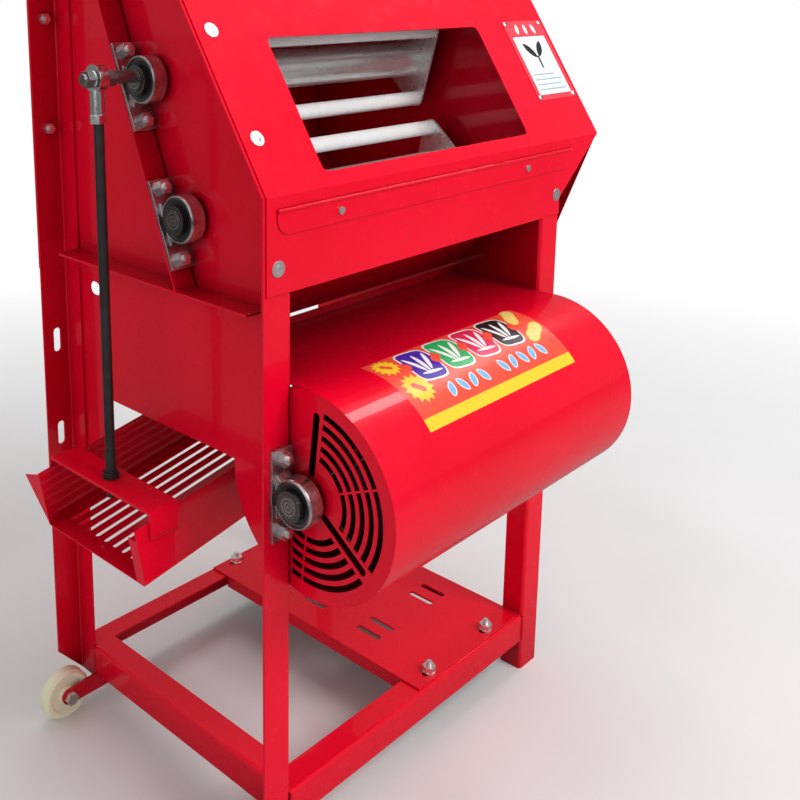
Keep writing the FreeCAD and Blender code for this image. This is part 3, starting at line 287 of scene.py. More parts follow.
def galvanised_sheet():
    """Zinc sheet with a spangle of faint crystal flakes."""
    f = Finish("galvanised_sheet")
    flakes = f.cells(85.0, "Color")
    tone = f.ramp(flakes, 0.2, 0.8)
    f.join(f.mix(tone, (0.52, 0.54, 0.56), (0.68, 0.70, 0.72)), f.shader.inputs["Base Color"])
    f.join(f.ramp(flakes, 0.1, 0.9, 0.30, 0.46), f.shader.inputs["Roughness"])
    f.bump([(f.noise(11.0, 1.0), 0.2, 0.004)], 0.0006)
    f.set(Metallic=1.0)
    return f.material


def pressed_housing():
    """Dark pressed steel with a violet oil film, and a painted highlight on the rolled band's edges."""
    f = Finish("pressed_housing")
    patches = f.noise(48.0, 4.0, 0.6)
    base = f.mix(f.ramp(patches, 0.3, 0.7), (0.24, 0.18, 0.195), (0.74, 0.66, 0.68))
    rust = f.ramp(f.noise(80.0, 5.0, 0.7), 0.60, 0.72)
    base = f.mix(f.calc("MULTIPLY", rust, 0.30), base, (0.20, 0.10, 0.075))
    # Painted highlight: near-white colour along the sharp edges.
    base = f.mix(f.calc("MULTIPLY", f.edges(0.0014), 0.9), base, (0.95, 0.90, 0.90))
    f.join(base, f.shader.inputs["Base Color"])
    f.join(f.ramp(patches, 0.3, 0.75, 0.18, 0.34), f.shader.inputs["Roughness"])
    f.bump([(f.noise(520.0, 4.0, 0.6), 0.16, 0.0004)], 0.0014)
    f.set(Metallic=0.92)
    return f.material


def rough_casting():
    """Grey iron with a sand-cast skin, oiled dark, with a painted highlight on its sharp edges."""
    f = Finish("rough_casting")
    patches = f.noise(45.0, 4.0, 0.6)
    base = f.mix(f.ramp(patches, 0.3, 0.7), (0.085, 0.075, 0.075), (0.21, 0.19, 0.185))
    rust = f.ramp(f.noise(70.0, 5.0, 0.7), 0.62, 0.74)
    base = f.mix(f.calc("MULTIPLY", rust, 0.35), base, (0.16, 0.07, 0.04))
    # Painted highlight: a lighter colour along the sharp edges.
    base = f.mix(f.calc("MULTIPLY", f.edges(0.0008), 0.6), base, (0.42, 0.40, 0.39))
    f.join(base, f.shader.inputs["Base Color"])
    f.join(f.ramp(patches, 0.3, 0.75, 0.34, 0.58), f.shader.inputs["Roughness"])
    f.bump([(f.noise(620.0, 6.0, 0.7), 0.35, 0.0006)], 0.0008)
    f.set(Metallic=0.75)
    return f.material


def smooth_plastic(name, colour, deep, rough, speck, scuffed=0.25):
    """Moulded or sleeved plastic with faint clouding and small scuffs."""
    f = Finish(name)
    cloud = f.noise(22.0, 4.0)
    scuff = f.ramp(f.noise(speck, 4.0, 0.7), 0.62, 0.78)
    base = f.mix(f.ramp(cloud, 0.3, 0.75), colour, deep)
    base = f.mix(f.calc("MULTIPLY", scuff, scuffed), base, (0.30, 0.27, 0.22))
    f.join(base, f.shader.inputs["Base Color"])
    f.join(f.ramp(cloud, 0.3, 0.8, rough, rough + 0.14), f.shader.inputs["Roughness"])
    f.bump([(f.noise(speck * 1.6, 3.0), 0.12, 0.0003)], 0.0008)
    f.set(Subsurface_Weight=0.05, Subsurface_Scale=0.002)
    return f.material


def printed(name, colour, rough=0.3):
    """Printed vinyl: even ink with a fine dot grain and a soft clear film."""
    f = Finish(name)
    deep = tuple(0.86 * c for c in colour)
    dots = f.ramp(f.cells(1400.0), 0.2, 0.7)
    base = f.mix(f.calc("MULTIPLY", dots, 0.5), colour, deep)
    f.join(base, f.shader.inputs["Base Color"])
    f.join(f.ramp(f.noise(60.0, 3.0), 0.3, 0.75, rough - 0.06, rough + 0.08),
           f.shader.inputs["Roughness"])
    f.bump([(f.noise(30.0, 2.0), 0.06, 0.0006)])
    f.set(Specular_IOR_Level=0.4)
    return f.material


RED = red_coat("red_coat", (0.90, 0.0010, 0.026), (0.80, 0.0007, 0.019))
WELD_RED = red_coat("red_weld", (0.80, 0.0010, 0.020), (0.68, 0.0007, 0.015))
GALVANISED = galvanised_sheet()
HOUSING = pressed_housing()
CASTING = rough_casting()
BEARING_STEEL = bare_steel("bearing_steel", (0.22, 0.20, 0.20), (0.11, 0.10, 0.10), 0.28, (1.0, 1.0, 1.0))
ZINC = bare_steel("zinc_plate", (0.94, 0.92, 0.93), (0.76, 0.73, 0.73), 0.32, (1.0, 1.0, 3.0))
BRIGHT = bare_steel("bright_tube", (0.86, 0.88, 0.88), (0.78, 0.80, 0.80), 0.28, (0.015, 0.3, 0.3),
                    0.70, patchy=0.03)
DARK_STEEL = bare_steel("dark_steel", (0.24, 0.23, 0.23), (0.13, 0.12, 0.12), 0.34, (3.0, 1.0, 1.0), 0.9)
BLACK_ROD = bare_steel("black_rod", (0.060, 0.055, 0.058), (0.030, 0.028, 0.030), 0.36, (1.0, 1.0, 0.1), 0.6)
CHROME = bare_steel("rod_end_chrome", (0.86, 0.86, 0.87), (0.68, 0.68, 0.69), 0.15, (1.0, 1.0, 1.0))
WHITE_BAR = smooth_plastic("white_bar", (0.98, 0.98, 0.98), (0.93, 0.93, 0.92), 0.24, 190.0, 0.08)
CREAM = smooth_plastic("cream_nylon", (0.96, 0.95, 0.72), (0.86, 0.84, 0.56), 0.42, 150.0)
# Black rubber of the bearing seals. The same finish is the painted shade in the nameplate screws' crosses.
SEAL_AND_SHADE = smooth_plastic("seal_rubber", (0.030, 0.028, 0.030), (0.018, 0.017, 0.018), 0.45, 300.0, 0.2)

SLOT_FINISH = {
    "red_paint": RED,
    "galvanised": GALVANISED,
    "cast_iron": CASTING,
    "bearing_steel": BEARING_STEEL,
    "zinc": ZINC,
    "bright_steel": BRIGHT,
    "dark_steel": DARK_STEEL,
    "black_steel": BLACK_ROD,
    "chrome": CHROME,
    "white_bar": WHITE_BAR,
    "cream_nylon": CREAM,
}
NODE_FINISH = {"bearing_housings": HOUSING}
for shaft in ("upper_shaft", "lower_shaft", "fan_shaft"):
    NODE_FINISH[shaft] = turned_steel("turned_" + shaft, shaft)


def paint_nodes():
    """Gives each piece of the machine the finish of its material slot."""
    for part in frame["record"]["subparts"]:
        piece = nodes[part["node"]]
        piece.data.materials.clear()
        finish = NODE_FINISH.get(part["node"], SLOT_FINISH[part["material_slot"]])
        piece.data.materials.append(finish)


# ---------------------------------------------------------------- grown repeats

class Grower(Tree):
    """Geometry Nodes tree that grows repeats from a start mesh, with named inputs."""

    def __init__(self, name, **inputs):
        super().__init__(bpy.data.node_groups.new(name, "GeometryNodeTree"))
        face = self.tree.interface
        face.new_socket(name="Start", in_out="INPUT", socket_type="NodeSocketGeometry")
        for key, kind in inputs.items():
            face.new_socket(name=key, in_out="INPUT", socket_type="NodeSocket" + kind)
        face.new_socket(name="Finish", in_out="INPUT", socket_type="NodeSocketMaterial")
        face.new_socket(name="Result", in_out="OUTPUT", socket_type="NodeSocketGeometry")
        self.start = self.node("NodeGroupInput")
        self.end = self.node("NodeGroupOutput")

    def given(self, name):
        return self.start.outputs[name]

    def vector(self, x, y, z):
        return self.put(self.node("ShaderNodeCombineXYZ"), X=x, Y=y, Z=z).outputs[0]

    def circle(self, sides, radius):
        made = self.node("GeometryNodeCurvePrimitiveCircle", mode="RADIUS")
        return self.put(made, Resolution=sides, Radius=radius).outputs[0]

    def sweep(self, line, section, **values):
        """Section swept along a line."""
        made = self.node("GeometryNodeCurveToMesh")
        return self.put(made, Curve=line, Profile_Curve=section, **values).outputs[0]

    def repeat(self, shape, points, **values):
        """One of the shape at each point."""
        made = self.node("GeometryNodeInstanceOnPoints")
        return self.put(made, Points=points, Instance=shape, **values).outputs[0]

    def faced(self):
        """Turn that sends Z along each point's own way."""
        way = self.node("GeometryNodeInputNamedAttribute", data_type="FLOAT_VECTOR")
        self.put(way, Name="way")
        turn = self.node("FunctionNodeAlignRotationToVector", axis="Z")
        return self.put(turn, Vector=way.outputs[0]).outputs[0]

    def finish(self, shape):
        """Ends the tree: real geometry with its finish set."""
        real = self.put(self.node("GeometryNodeRealizeInstances"), Geometry=shape)
        coated = self.put(self.node("GeometryNodeSetMaterial"), Geometry=real.outputs[0],
                          Material=self.given("Finish"))
        self.join(coated.outputs[0], self.end.inputs[0])
        return self

    def grow(self, name, start, body, slot, finish, **values):
        """Runs the tree on a start mesh and keeps the result as a plain mesh that rides."""
        made = add_object(name, start)
        modifier = made.modifiers.new("grow", "NODES")
        modifier.node_group = self.tree
        values["Finish"] = finish
        for item in self.tree.interface.items_tree:
            if item.in_out == "INPUT" and item.name in values:
                modifier[item.identifier] = values[item.name]
        depsgraph = bpy.context.evaluated_depsgraph_get()
        result = bpy.data.meshes.new_from_object(made.evaluated_get(depsgraph))
        made.modifiers.clear()
        made.data = result
        result.name = name
        round_off(result)
        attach(made, body)


def round_off(mesh):
    """Smooth shading, with edges of more than 38 degrees kept sharp."""
    for face in mesh.polygons:
        face.use_smooth = True
    mesh.set_sharp_from_angle(angle=math.radians(38.0))


def spots_mesh(name, spots):
    """Loose points, each with the way its repeat faces."""
    mesh = bpy.data.meshes.new(name)
    mesh.from_pydata([tuple(spot) for spot, way in spots], [], [])
    layer = mesh.attributes.new("way", "FLOAT_VECTOR", "POINT")
    for item, (spot, way) in zip(layer.data, spots):
        item.vector = tuple(way)
    return mesh


def lines_mesh(name, lines):
    """Open lines of straight runs."""
    mesh = bpy.data.meshes.new(name)
    points, edges = [], []
    for line in lines:
        first = len(points)
        points += [tuple(p) for p in line]
        edges += [(first + k, first + k + 1) for k in range(len(line) - 1)]
    mesh.from_pydata(points, edges, [])
    return mesh


def weld_tree():
    """Ripples of a weld seam: flat beads set close along lines, each a little off."""
    g = Grower("weld_seam", Pitch="Float", Width="Float", Height="Float", Seed="Int")
    curve = g.put(g.node("GeometryNodeMeshToCurve"), Mesh=g.given("Start"))
    even = g.node("GeometryNodeResampleCurve", mode="LENGTH")
    g.put(even, Curve=curve.outputs[0], Length=g.given("Pitch"))
    bead = g.put(g.node("GeometryNodeMeshUVSphere"), Segments=8, Rings=5, Radius=1.0)
    tangent = g.node("GeometryNodeInputTangent")
    turn = g.put(g.node("FunctionNodeAlignRotationToVector", axis="X"), Vector=tangent.outputs[0])
    size = g.vector(g.calc("MULTIPLY", g.given("Pitch"), 0.95), g.given("Width"), g.given("Height"))
    odd = g.node("FunctionNodeRandomValue", data_type="FLOAT_VECTOR")
    g.put(odd, Min=(0.82, 0.82, 0.82), Max=(1.15, 1.15, 1.15), Seed=g.given("Seed"))
    scaled = g.node("ShaderNodeVectorMath", operation="MULTIPLY")
    g.join(size, scaled.inputs[0])
    g.join(odd.outputs[0], scaled.inputs[1])
    return g.finish(g.repeat(bead.outputs[0], even.outputs[0], Rotation=turn.outputs[0],
                             Scale=scaled.outputs[0]))


def ring_tree():
    """Flat rings such as washers and seals: a rectangle swept round each point's way."""
    g = Grower("flat_rings", Radius="Float", Width="Float", Thickness="Float", Sides="Int")
    section = g.put(g.node("GeometryNodeCurvePrimitiveQuadrilateral", mode="RECTANGLE"),
                    Width=g.given("Width"), Height=g.given("Thickness"))
    ring = g.sweep(g.circle(g.given("Sides"), g.given("Radius")), section.outputs[0])
    return g.finish(g.repeat(ring, g.given("Start"), Rotation=g.faced()))


def thread_tree():
    """Screw thread: a stack of three-sided ridges along each point's way, one pitch apart."""
    g = Grower("thread_ridges", Radius="Float", Depth="Float", Pitch="Float", Turns="Int", Sides="Int")
    ridge = g.sweep(g.circle(g.given("Sides"), g.given("Radius")), g.circle(3, g.given("Depth")))
    column = g.put(g.node("GeometryNodeMeshLine", mode="OFFSET"), Count=g.given("Turns"),
                   Offset=g.vector(0.0, 0.0, g.given("Pitch")))
    stack = g.repeat(ridge, column.outputs[0])
    return g.finish(g.repeat(stack, g.given("Start"), Rotation=g.faced()))


def dome_tree():
    """Shallow domes, as screw heads and the round ends of bolts have them."""
    g = Grower("shallow_domes", Radius="Float", Rise="Float", Sides="Int")
    ball = g.put(g.node("GeometryNodeMeshUVSphere"), Segments=g.given("Sides"), Rings=7, Radius=1.0)
    size = g.vector(g.given("Radius"), g.given("Radius"), g.given("Rise"))
    return g.finish(g.repeat(ball.outputs[0], g.given("Start"), Rotation=g.faced(), Scale=size))


def wrap_tree():
    """Wraps flat sheet pieces on the drum: X stays, Y is the length round it, Z the lift."""
    g = Grower("drum_wrap", Radius="Float", Axis="Vector", Thickness="Float")
    spot = g.put(g.node("ShaderNodeSeparateXYZ"), Vector=g.node("GeometryNodeInputPosition").outputs[0])
    axis = g.put(g.node("ShaderNodeSeparateXYZ"), Vector=g.given("Axis"))
    angle = g.calc("DIVIDE", spot.outputs["Y"], g.given("Radius"))
    reach = g.calc("ADD", g.given("Radius"), spot.outputs["Z"])
    y = g.calc("MULTIPLY_ADD", reach, g.calc("COSINE", angle), axis.outputs["Y"])
    z = g.calc("MULTIPLY_ADD", reach, g.calc("SINE", angle), axis.outputs["Z"])
    bent = g.put(g.node("GeometryNodeSetPosition"), Geometry=g.given("Start"),
                 Position=g.vector(spot.outputs["X"], y, z))
    raised = g.put(g.node("GeometryNodeExtrudeMesh", mode="FACES"), Mesh=bent.outputs[0],
                   Offset_Scale=g.given("Thickness"), Individual=False)
    under = g.put(g.node("GeometryNodeFlipFaces"), Mesh=bent.outputs[0])
    both = g.node("GeometryNodeJoinGeometry")
    g.join(raised.outputs[0], both.inputs[0])
    g.join(under.outputs[0], both.inputs[0])
    same_spot = 0.000002
    closed = g.put(g.node("GeometryNodeMergeByDistance"), Geometry=both.outputs[0], Distance=same_spot)
    return g.finish(closed.outputs[0])


def hem_tree():
    """Rolled rim of the drum: an arc about the drum's axis, swept with a round section."""
    g = Grower("rolled_rim", Radius="Float", Bead="Float", First="Float", Sweep="Float")
    arc = g.put(g.node("GeometryNodeCurveArc", mode="RADIUS"), Resolution=96, Radius=g.given("Radius"),
                Start_Angle=g.given("First"), Sweep_Angle=g.given("Sweep"))
    rim = g.sweep(arc.outputs[0], g.circle(10, g.given("Bead")), Fill_Caps=True)
    upright = (math.radians(90.0), 0.0, math.radians(90.0))
    return g.finish(g.repeat(rim, g.given("Start"), Rotation=upright))


WELDS, RINGS, THREADS = weld_tree(), ring_tree(), thread_tree()
DOMES, WRAP, RIMS = dome_tree(), wrap_tree(), hem_tree()


# ---------------------------------------------------------------- small parts

FILL_RINGS = 4  # rings of faces from a flat outline to its middle


def hood_point(x, along, out):
    """Point on the leaning panel, in mm: across, up the slant from the bend, out of its face."""
    out += SHEET * MM
    y = along * math.sin(HOOD_TILT) - out * math.cos(HOOD_TILT)
    z = BEND_HEIGHT * MM + along * math.cos(HOOD_TILT) + out * math.sin(HOOD_TILT)
    return place(x, y, z)


def outline_faces(built, outline, height):
    """Fills a flat outline with rings of small faces that can bend, facing out of the drum."""
    area = sum(a[0] * b[1] - b[0] * a[1] for a, b in zip(outline, outline[1:] + outline[:1]))
    if area > 0.0:
        outline = outline[::-1]
    count = len(outline)
    cu = sum(p[0] for p in outline) / count
    cv = sum(p[1] for p in outline) / count
    loops = []
    for ring in range(FILL_RINGS):
        share = 1.0 - ring / FILL_RINGS
        loops.append([built.verts.new((cu + (u - cu) * share, cv + (v - cv) * share, height))
                      for u, v in outline])
    hub = built.verts.new((cu, cv, height))
    for inner, outer in zip(loops[1:], loops):
        for k in range(count):
            j = (k + 1) % count
            built.faces.new((outer[k], outer[j], inner[j], inner[k]))
    for k in range(count):
        built.faces.new((loops[-1][k], loops[-1][(k + 1) % count], hub))


def turned_points(points, u, v, turn=0.0, grow=0.0):
    """Outline about its own middle, grown outward, turned and set at (u, v)."""
    c, s = math.cos(turn), math.sin(turn)
    made = []
    for x, y in points:
        size = math.hypot(x, y) or 1.0
        x, y = x * (1.0 + grow / size), y * (1.0 + grow / size)
        made.append((u + x * c - y * s, v + x * s + y * c))
    return made


def pod_points(long, wide):
    """Peanut pod outline: an oval drawn in at its waist."""
    sides, waist_depth, waist_reach = 28, 0.34, 0.20 * long
    points = []
    for k in range(sides):
        a = math.tau * k / sides
        x = math.cos(a) * long / 2.0
        waist = 1.0 - waist_depth * math.exp(-(x / waist_reach) ** 2)
        points.append((x, math.sin(a) * wide / 2.0 * waist))
    return points


def leaf_points(long, wide):
    """Oval leaf with pointed ends."""
    sides, pointed = 16, 0.4
    points = []
    for k in range(sides):
        a = math.tau * k / sides
        y = math.sin(a) * abs(math.sin(a)) ** pointed * wide / 2.0
        points.append((math.cos(a) * long / 2.0, y))
    return points


def tile_points(long, wide):
    """Rectangle with soft corners."""
    sides, soft = 28, 0.45
    points = []
    for k in range(sides):
        a = math.tau * (k + 0.5) / sides
        c, s = math.cos(a), math.sin(a)
        points.append((math.copysign(abs(c) ** soft, c) * long / 2.0,
                       math.copysign(abs(s) ** soft, s) * wide / 2.0))
    return points


def sun_points(inner, outer, rays):
    points = []
    for k in range(2 * rays):
        a = math.pi * k / rays
        r = outer if k % 2 else inner
        points.append((r * math.cos(a), r * math.sin(a)))
    return points


# The decal's inks, and the lifts of its layers off the drum in metres.
INKS = {"coral": (0.90, 0.085, 0.046), "yellow": (0.97, 0.64, 0.030), "white": (0.92, 0.92, 0.92),
        "pink": (0.75, 0.020, 0.100), "violet": (0.060, 0.020, 0.40), "green": (0.010, 0.44, 0.12),
        "black": (0.014, 0.013, 0.015), "straw": (0.93, 0.70, 0.20), "pale_blue": (0.22, 0.50, 0.82)}
SHEET_LIFT, RIM_LIFT, SHAPE_LIFT, TOP_LIFT = 0.00010, 0.00026, 0.00036, 0.00046


def build_decal():
    """Plain farm decal on the drum: coral sheet, yellow foot stripe, tiles, suns, pods, leaves."""
    # Lengths round the drum from its back over its top: upper edge, lower edge, top of the stripe.
    first, last, stripe = (math.radians(t) * DRUM_RADIUS for t in (83.0, 141.0, 134.0))
    left, right = LEFT + 0.130, LEFT + 0.428
    layers = {}

    def layer(ink, lift):
        if (ink, lift) not in layers:
            layers[ink, lift] = bmesh.new()
        return layers[ink, lift]

    def add(ink, outline, lift):
        outline_faces(layer(ink, lift), outline, lift)

    def rimmed(rim_ink, ink, shape, u, v, turn, rim):
        """Shape over a slightly larger one of another ink."""
        add(rim_ink, turned_points(shape, u, v, turn, rim), RIM_LIFT)
        add(ink, turned_points(shape, u, v, turn), SHAPE_LIFT)

    def sheet(ink, upper, lower):
        """Plain field across the decal, in faces small enough to bend."""
        built = layer(ink, SHEET_LIFT)
        columns, rows = 12, 24
        spots = [[built.verts.new((left + (right - left) * i / columns,
                                   upper + (lower - upper) * j / rows, SHEET_LIFT))
                  for i in range(columns + 1)] for j in range(rows + 1)]
        for here, below in zip(spots, spots[1:]):
            for i in range(columns):
                built.faces.new((here[i], below[i], below[i + 1], here[i + 1]))

    sheet("coral", first, stripe)
    sheet("yellow", stripe, last)
    row = first + 0.042
    for across, ink in ((0.068, "violet"), (0.121, "green"), (0.174, "pink"), (0.227, "black")):
        u = left + across
        rimmed("white", ink, tile_points(0.045, 0.056), u, row, 0.10, 0.0026)
        for shift, turn in ((-0.011, 1.25), (0.0, 1.67), (0.011, 2.05)):
            leaf = turned_points(leaf_points(0.036, 0.0062), u + shift, row - 0.001, turn)
            add("white", leaf, TOP_LIFT)
        add("white", turned_points(leaf_points(0.034, 0.0046), u, row + 0.018, 0.10), TOP_LIFT)
    for across, down, size in ((0.022, 0.027, 0.018), (0.028, 0.072, 0.022)):
        u, v = left + across, first + down
        add("yellow", turned_points(sun_points(size * 0.74, size, 13), u, v), RIM_LIFT)
        add("coral", turned_points(pod_points(size * 0.9, size * 0.5), u, v, 0.8), SHAPE_LIFT)
    for across, down, turn in ((0.274, 0.024, -0.9), (0.274, 0.064, -0.5)):
        pod = pod_points(0.044, 0.021)
        rimmed("yellow", "straw", pod, left + across, first + down, turn, 0.0018)
    for k in (0, 1, 2, 3, 5, 6, 7, 8, 9):
        u = left + 0.070 + 0.0205 * k
        turn = 1.1 if k % 2 else 2.0
        rimmed("white", "pale_blue", leaf_points(0.0185, 0.0090), u, first + 0.090, turn, 0.0015)
    finishes = {ink: printed("ink_" + ink, colour) for ink, colour in INKS.items()}
    axis = (0.0, DRUM[1], DRUM[2])
    for (ink, lift), built in sorted(layers.items()):
        WRAP.grow("decal_%s_%d" % (ink, round(lift * 100000)), plain_mesh("flat", built), "frame",
                  "red_paint", finishes[ink], Radius=DRUM_RADIUS, Axis=axis, Thickness=0.00009)


def hood_plate(name, outline, low, high, finish):
    """Flat closed piece on the leaning panel from an outline in (x, along) millimetres."""
    built = bmesh.new()
    under = [built.verts.new(hood_point(x, a, low)) for x, a in outline]
    over = [built.verts.new(hood_point(x, a, high)) for x, a in outline]
    built.faces.new(over)
    built.faces.new(under[::-1])
    for k in range(len(outline)):
        j = (k + 1) % len(outline)
        built.faces.new((under[k], under[j], over[j], over[k]))
    bmesh.ops.recalc_face_normals(built, faces=built.faces)
    mesh = plain_mesh(name, built)
    mesh.materials.append(finish)
    made = add_object(name, mesh)
    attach(made, "frame")


def rounded(x0, x1, a0, a1, radius, steps=5):
    """Rectangle with round corners, in (x, along) millimetres."""
    points = []
    corners = ((x1 - radius, a1 - radius, 0), (x0 + radius, a1 - radius, 1),
               (x0 + radius, a0 + radius, 2), (x1 - radius, a0 + radius, 3))
    for cx, ca, quarter in corners:
        for k in range(steps + 1):
            angle = math.pi / 2.0 * (quarter + k / steps)
            points.append((cx + radius * math.cos(angle), ca + radius * math.sin(angle)))
    return points


def build_nameplate():
    """Bare plate beside the window: red margin, white field, a sprout and blank lines."""
    margin = printed("plate_margin", (0.80, 0.055, 0.085))
    white = printed("plate_white", (0.88, 0.90, 0.90), 0.24)
    dark = printed("plate_dark", (0.016, 0.017, 0.024))
    pale = printed("plate_lines", (0.34, 0.50, 0.56))
    # Lifts off the panel, in millimetres: the plate's back and face, then the tops of its prints.
    back, face, field, line, sprout = 0.05, 0.8, 0.95, 1.05, 1.08
    hood_plate("nameplate", rounded(567.0, 665.0, 62.0, 190.0, 4.0), back, face, margin)
    hood_plate("nameplate_field", rounded(575.0, 657.0, 70.0, 164.0, 1.5), face, field, white)
    for k, x in enumerate((595.0, 616.0, 637.0)):
        shape = turned_points(leaf_points(17.0, 8.0), x, 176.0, 0.5 * math.pi + 0.25 * (k - 1))
        hood_plate("nameplate_leaf_%d" % k, shape, face, field, white)
    stem = [(614.0, 112.0), (618.0, 112.0), (618.5, 132.0), (614.5, 132.0)]
    hood_plate("nameplate_stem", stem, field, sprout, dark)
    for k, (x, a, turn, long) in enumerate(((603.0, 141.0, 2.35, 32.0), (628.0, 143.0, 0.95, 30.0))):
        shape = turned_points(leaf_points(long, 12.0), x, a, turn)
        hood_plate("nameplate_sprout_%d" % k, shape, field, sprout, dark)
    for k, wide in enumerate((70.0, 62.0, 70.0, 54.0)):
        low = 77.0 + 8.0 * k
        shape = rounded(581.0, 581.0 + wide, low, low + 2.0, 0.9, 3)
        hood_plate("nameplate_line_%d" % k, shape, field, line, pale)
    corners = [(x, a) for x in (572.0, 660.0) for a in (66.5, 185.5)]
    screws = spots_mesh("nameplate_screws", [(hood_point(x, a, 0.7), HOOD_WAY) for x, a in corners])
    DOMES.grow("nameplate_screws", screws, "frame", "zinc", ZINC, Radius=0.0040, Rise=0.0021, Sides=18)
    # Painted shade: thin dark plates on the screw heads stand for the shade in their cross recesses.
    slit = [(-2.3, -0.5), (2.3, -0.5), (2.3, 0.5), (-2.3, 0.5)]
    for k, (x, a) in enumerate(corners):
        for n, turn in enumerate((0.4, 0.4 + math.pi / 2.0)):
            shape = turned_points(slit, x, a, turn)
            hood_plate("screw_cross_shade_%d_%d" % (k, n), shape, 2.35, 2.85, SEAL_AND_SHADE)


def build_welds():
    """Weld seams where rails, members and wheel arms meet the legs, in the drawing's millimetres."""
    seams = []

    def seam(*points):
        seams.append([place(*point) for point in points])

    rail_foot, rail_top, member_foot, member_top = 52.0, 91.0, 658.0, 681.0
    for x, inner in ((41.2, 1.0), (534.8, -1.0)):
        for y, way in ((0.0, 1.0), (433.0, -1.0)):
            seam((x, y + 0.2 * way, rail_foot), (x, y + 0.2 * way, rail_top))
            seam((x + inner, y + 4.0 * way, 92.2), (x + inner, y + 33.0 * way, 92.2))
        edge = x - 3.4 * inner
        for y in (35.2, 397.8):
            seam((edge, y, rail_foot), (edge, y, 90.0))
            seam((edge, y, member_foot), (edge, y, member_top))
            seam((edge - 2.0 * inner, y, 682.2), (edge - 26.0 * inner, y, 682.2))
        seam((edge - inner, 155.4, 682.4), (edge - 26.0 * inner, 155.4, 682.4))
    for y in (34.8, 398.2):
        seam((40.0, y, 49.6), (61.0, y, 49.6))
    WELDS.grow("frame_welds", lines_mesh("weld_lines", seams), "frame", "red_paint", WELD_RED,
               Pitch=0.0015, Width=0.0026, Height=0.0013, Seed=4)
    low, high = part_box("tray_bridge")
    laps = [[Vector((low[0] + 0.003, y, low[2])), Vector((high[0] - 0.003, y, low[2]))]
            for y in (low[1] + 0.001, high[1] - 0.001)]
    WELDS.grow("strap_welds", lines_mesh("strap_lines", laps), "shaker", "red_paint", WELD_RED,
               Pitch=0.0015, Width=0.0024, Height=0.0014, Seed=9)


def bearing_spots():
    """Middle of each bearing and how far its block leans."""
    rows = ((middle("lower_gear"), BLOCK_LEAN), (middle("roller_pulley"), BLOCK_LEAN), (DRUM, 0.0))
    return [(x, spot[1], spot[2], lean)
            for x in (LEFT + 0.0245, LEFT + 0.5515) for spot, lean in rows]


def build_bearing_details():
    """Seals between the races, and threaded ends of the block bolts."""
    seal_out, bolt_reach, thread_foot, tip_out = 0.0063, 0.043, 0.0166, 0.0038
    seals, ends, tips = [], [], []
    for x, y, z, lean in bearing_spots():
        for side in (-1.0, 1.0):
            seals.append(((x + side * seal_out, y, z), (side, 0.0, 0.0)))
        out = Vector((0.0, -math.cos(lean), math.sin(lean)))
        up = Vector((0.0, math.sin(lean), math.cos(lean)))
        for along in (-bolt_reach, bolt_reach):
            foot = Vector((x, y, z)) + up * along - out * thread_foot
            ends.append((foot, out))
            tips.append((foot + out * tip_out, out))
    RINGS.grow("bearing_seals", spots_mesh("seals", seals), "frame", "black_steel", SEAL_AND_SHADE,
               Radius=0.0198, Width=0.0043, Thickness=0.0010, Sides=48)
    THREADS.grow("block_bolt_threads", spots_mesh("ends", ends), "frame", "zinc", ZINC,
                 Radius=0.0049, Depth=0.00045, Pitch=0.0011, Turns=4, Sides=16)
    DOMES.grow("block_bolt_tips", spots_mesh("tips", tips), "frame", "zinc", ZINC,
               Radius=0.0046, Rise=0.0011, Sides=14)


def build_fastener_details():
    """Washers under the hood's round heads, threads on the rod, crank pin and motor plate bolts."""
    heads = [(hood_point(25.0, a, 0.5), HOOD_WAY) for a in (66.0, 197.0)]
    heads += [(place(x, -2.0, 738.0), FORWARD) for x in (20.5, 567.0)]
    RINGS.grow("hood_washers", spots_mesh("heads", heads), "frame", "zinc", ZINC,
               Radius=0.0068, Width=0.0044, Thickness=0.0010, Sides=28)
    nut_low, nut_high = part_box("rod_nuts")
    x, y = middle("rod_end")[0], middle("connecting_rod")[1]
    thread = {"Radius": 0.0059, "Depth": 0.00055, "Pitch": 0.0015, "Sides": 20}
    clear = 0.0009
    spots = [((x, y, nut_high[2] + clear), UPWARD)]
    THREADS.grow("rod_thread_foot", spots_mesh("foot", spots), "shaker", "black_steel", BLACK_ROD,
                 Turns=18, **thread)
    stub = max(2, int((nut_low[2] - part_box("connecting_rod")[0][2]) / thread["Pitch"]))
    spots = [((x, y, nut_low[2] - clear), DOWNWARD)]
    THREADS.grow("rod_thread_end", spots_mesh("end", spots), "shaker", "black_steel", BLACK_ROD,
                 Turns=stub, **thread)
    spots = [((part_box("crank")[0][0] + 0.0040, y, PIN_HEIGHT), LEFTWARD)]
    THREADS.grow("crank_pin_thread", spots_mesh("pin", spots), "upper_roller", "dark_steel", BRIGHT,
                 Radius=0.0058, Depth=0.00050, Pitch=0.0012, Turns=3, Sides=20)
    plate_left = (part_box("motor_plate")[0][0] - LEFT) * MM
    bolts = [(place(plate_left + column, row, 104.8), UPWARD)
             for column in (39.0, 174.0) for row in (17.5, 415.5)]
    THREADS.grow("plate_bolt_threads", spots_mesh("plate_bolts", bolts), "frame", "zinc", ZINC,
                 Radius=0.0039, Depth=0.00045, Pitch=0.0012, Turns=5, Sides=16)


def build_drum_rims():
    """Rolled rims round both ends of the drum, from its top over the front to its underside."""
    spots = bpy.data.meshes.new("rim_spots")
    spots.from_pydata([(LEFT + x, DRUM[1], DRUM[2]) for x in (0.0422, 0.5338)], [], [])
    RIMS.grow("drum_rims", spots, "frame", "red_paint", RED, Radius=DRUM_RADIUS - 0.0015, Bead=0.0014,
              First=math.radians(92.0), Sweep=math.radians(190.0))


# ---------------------------------------------------------------- stage

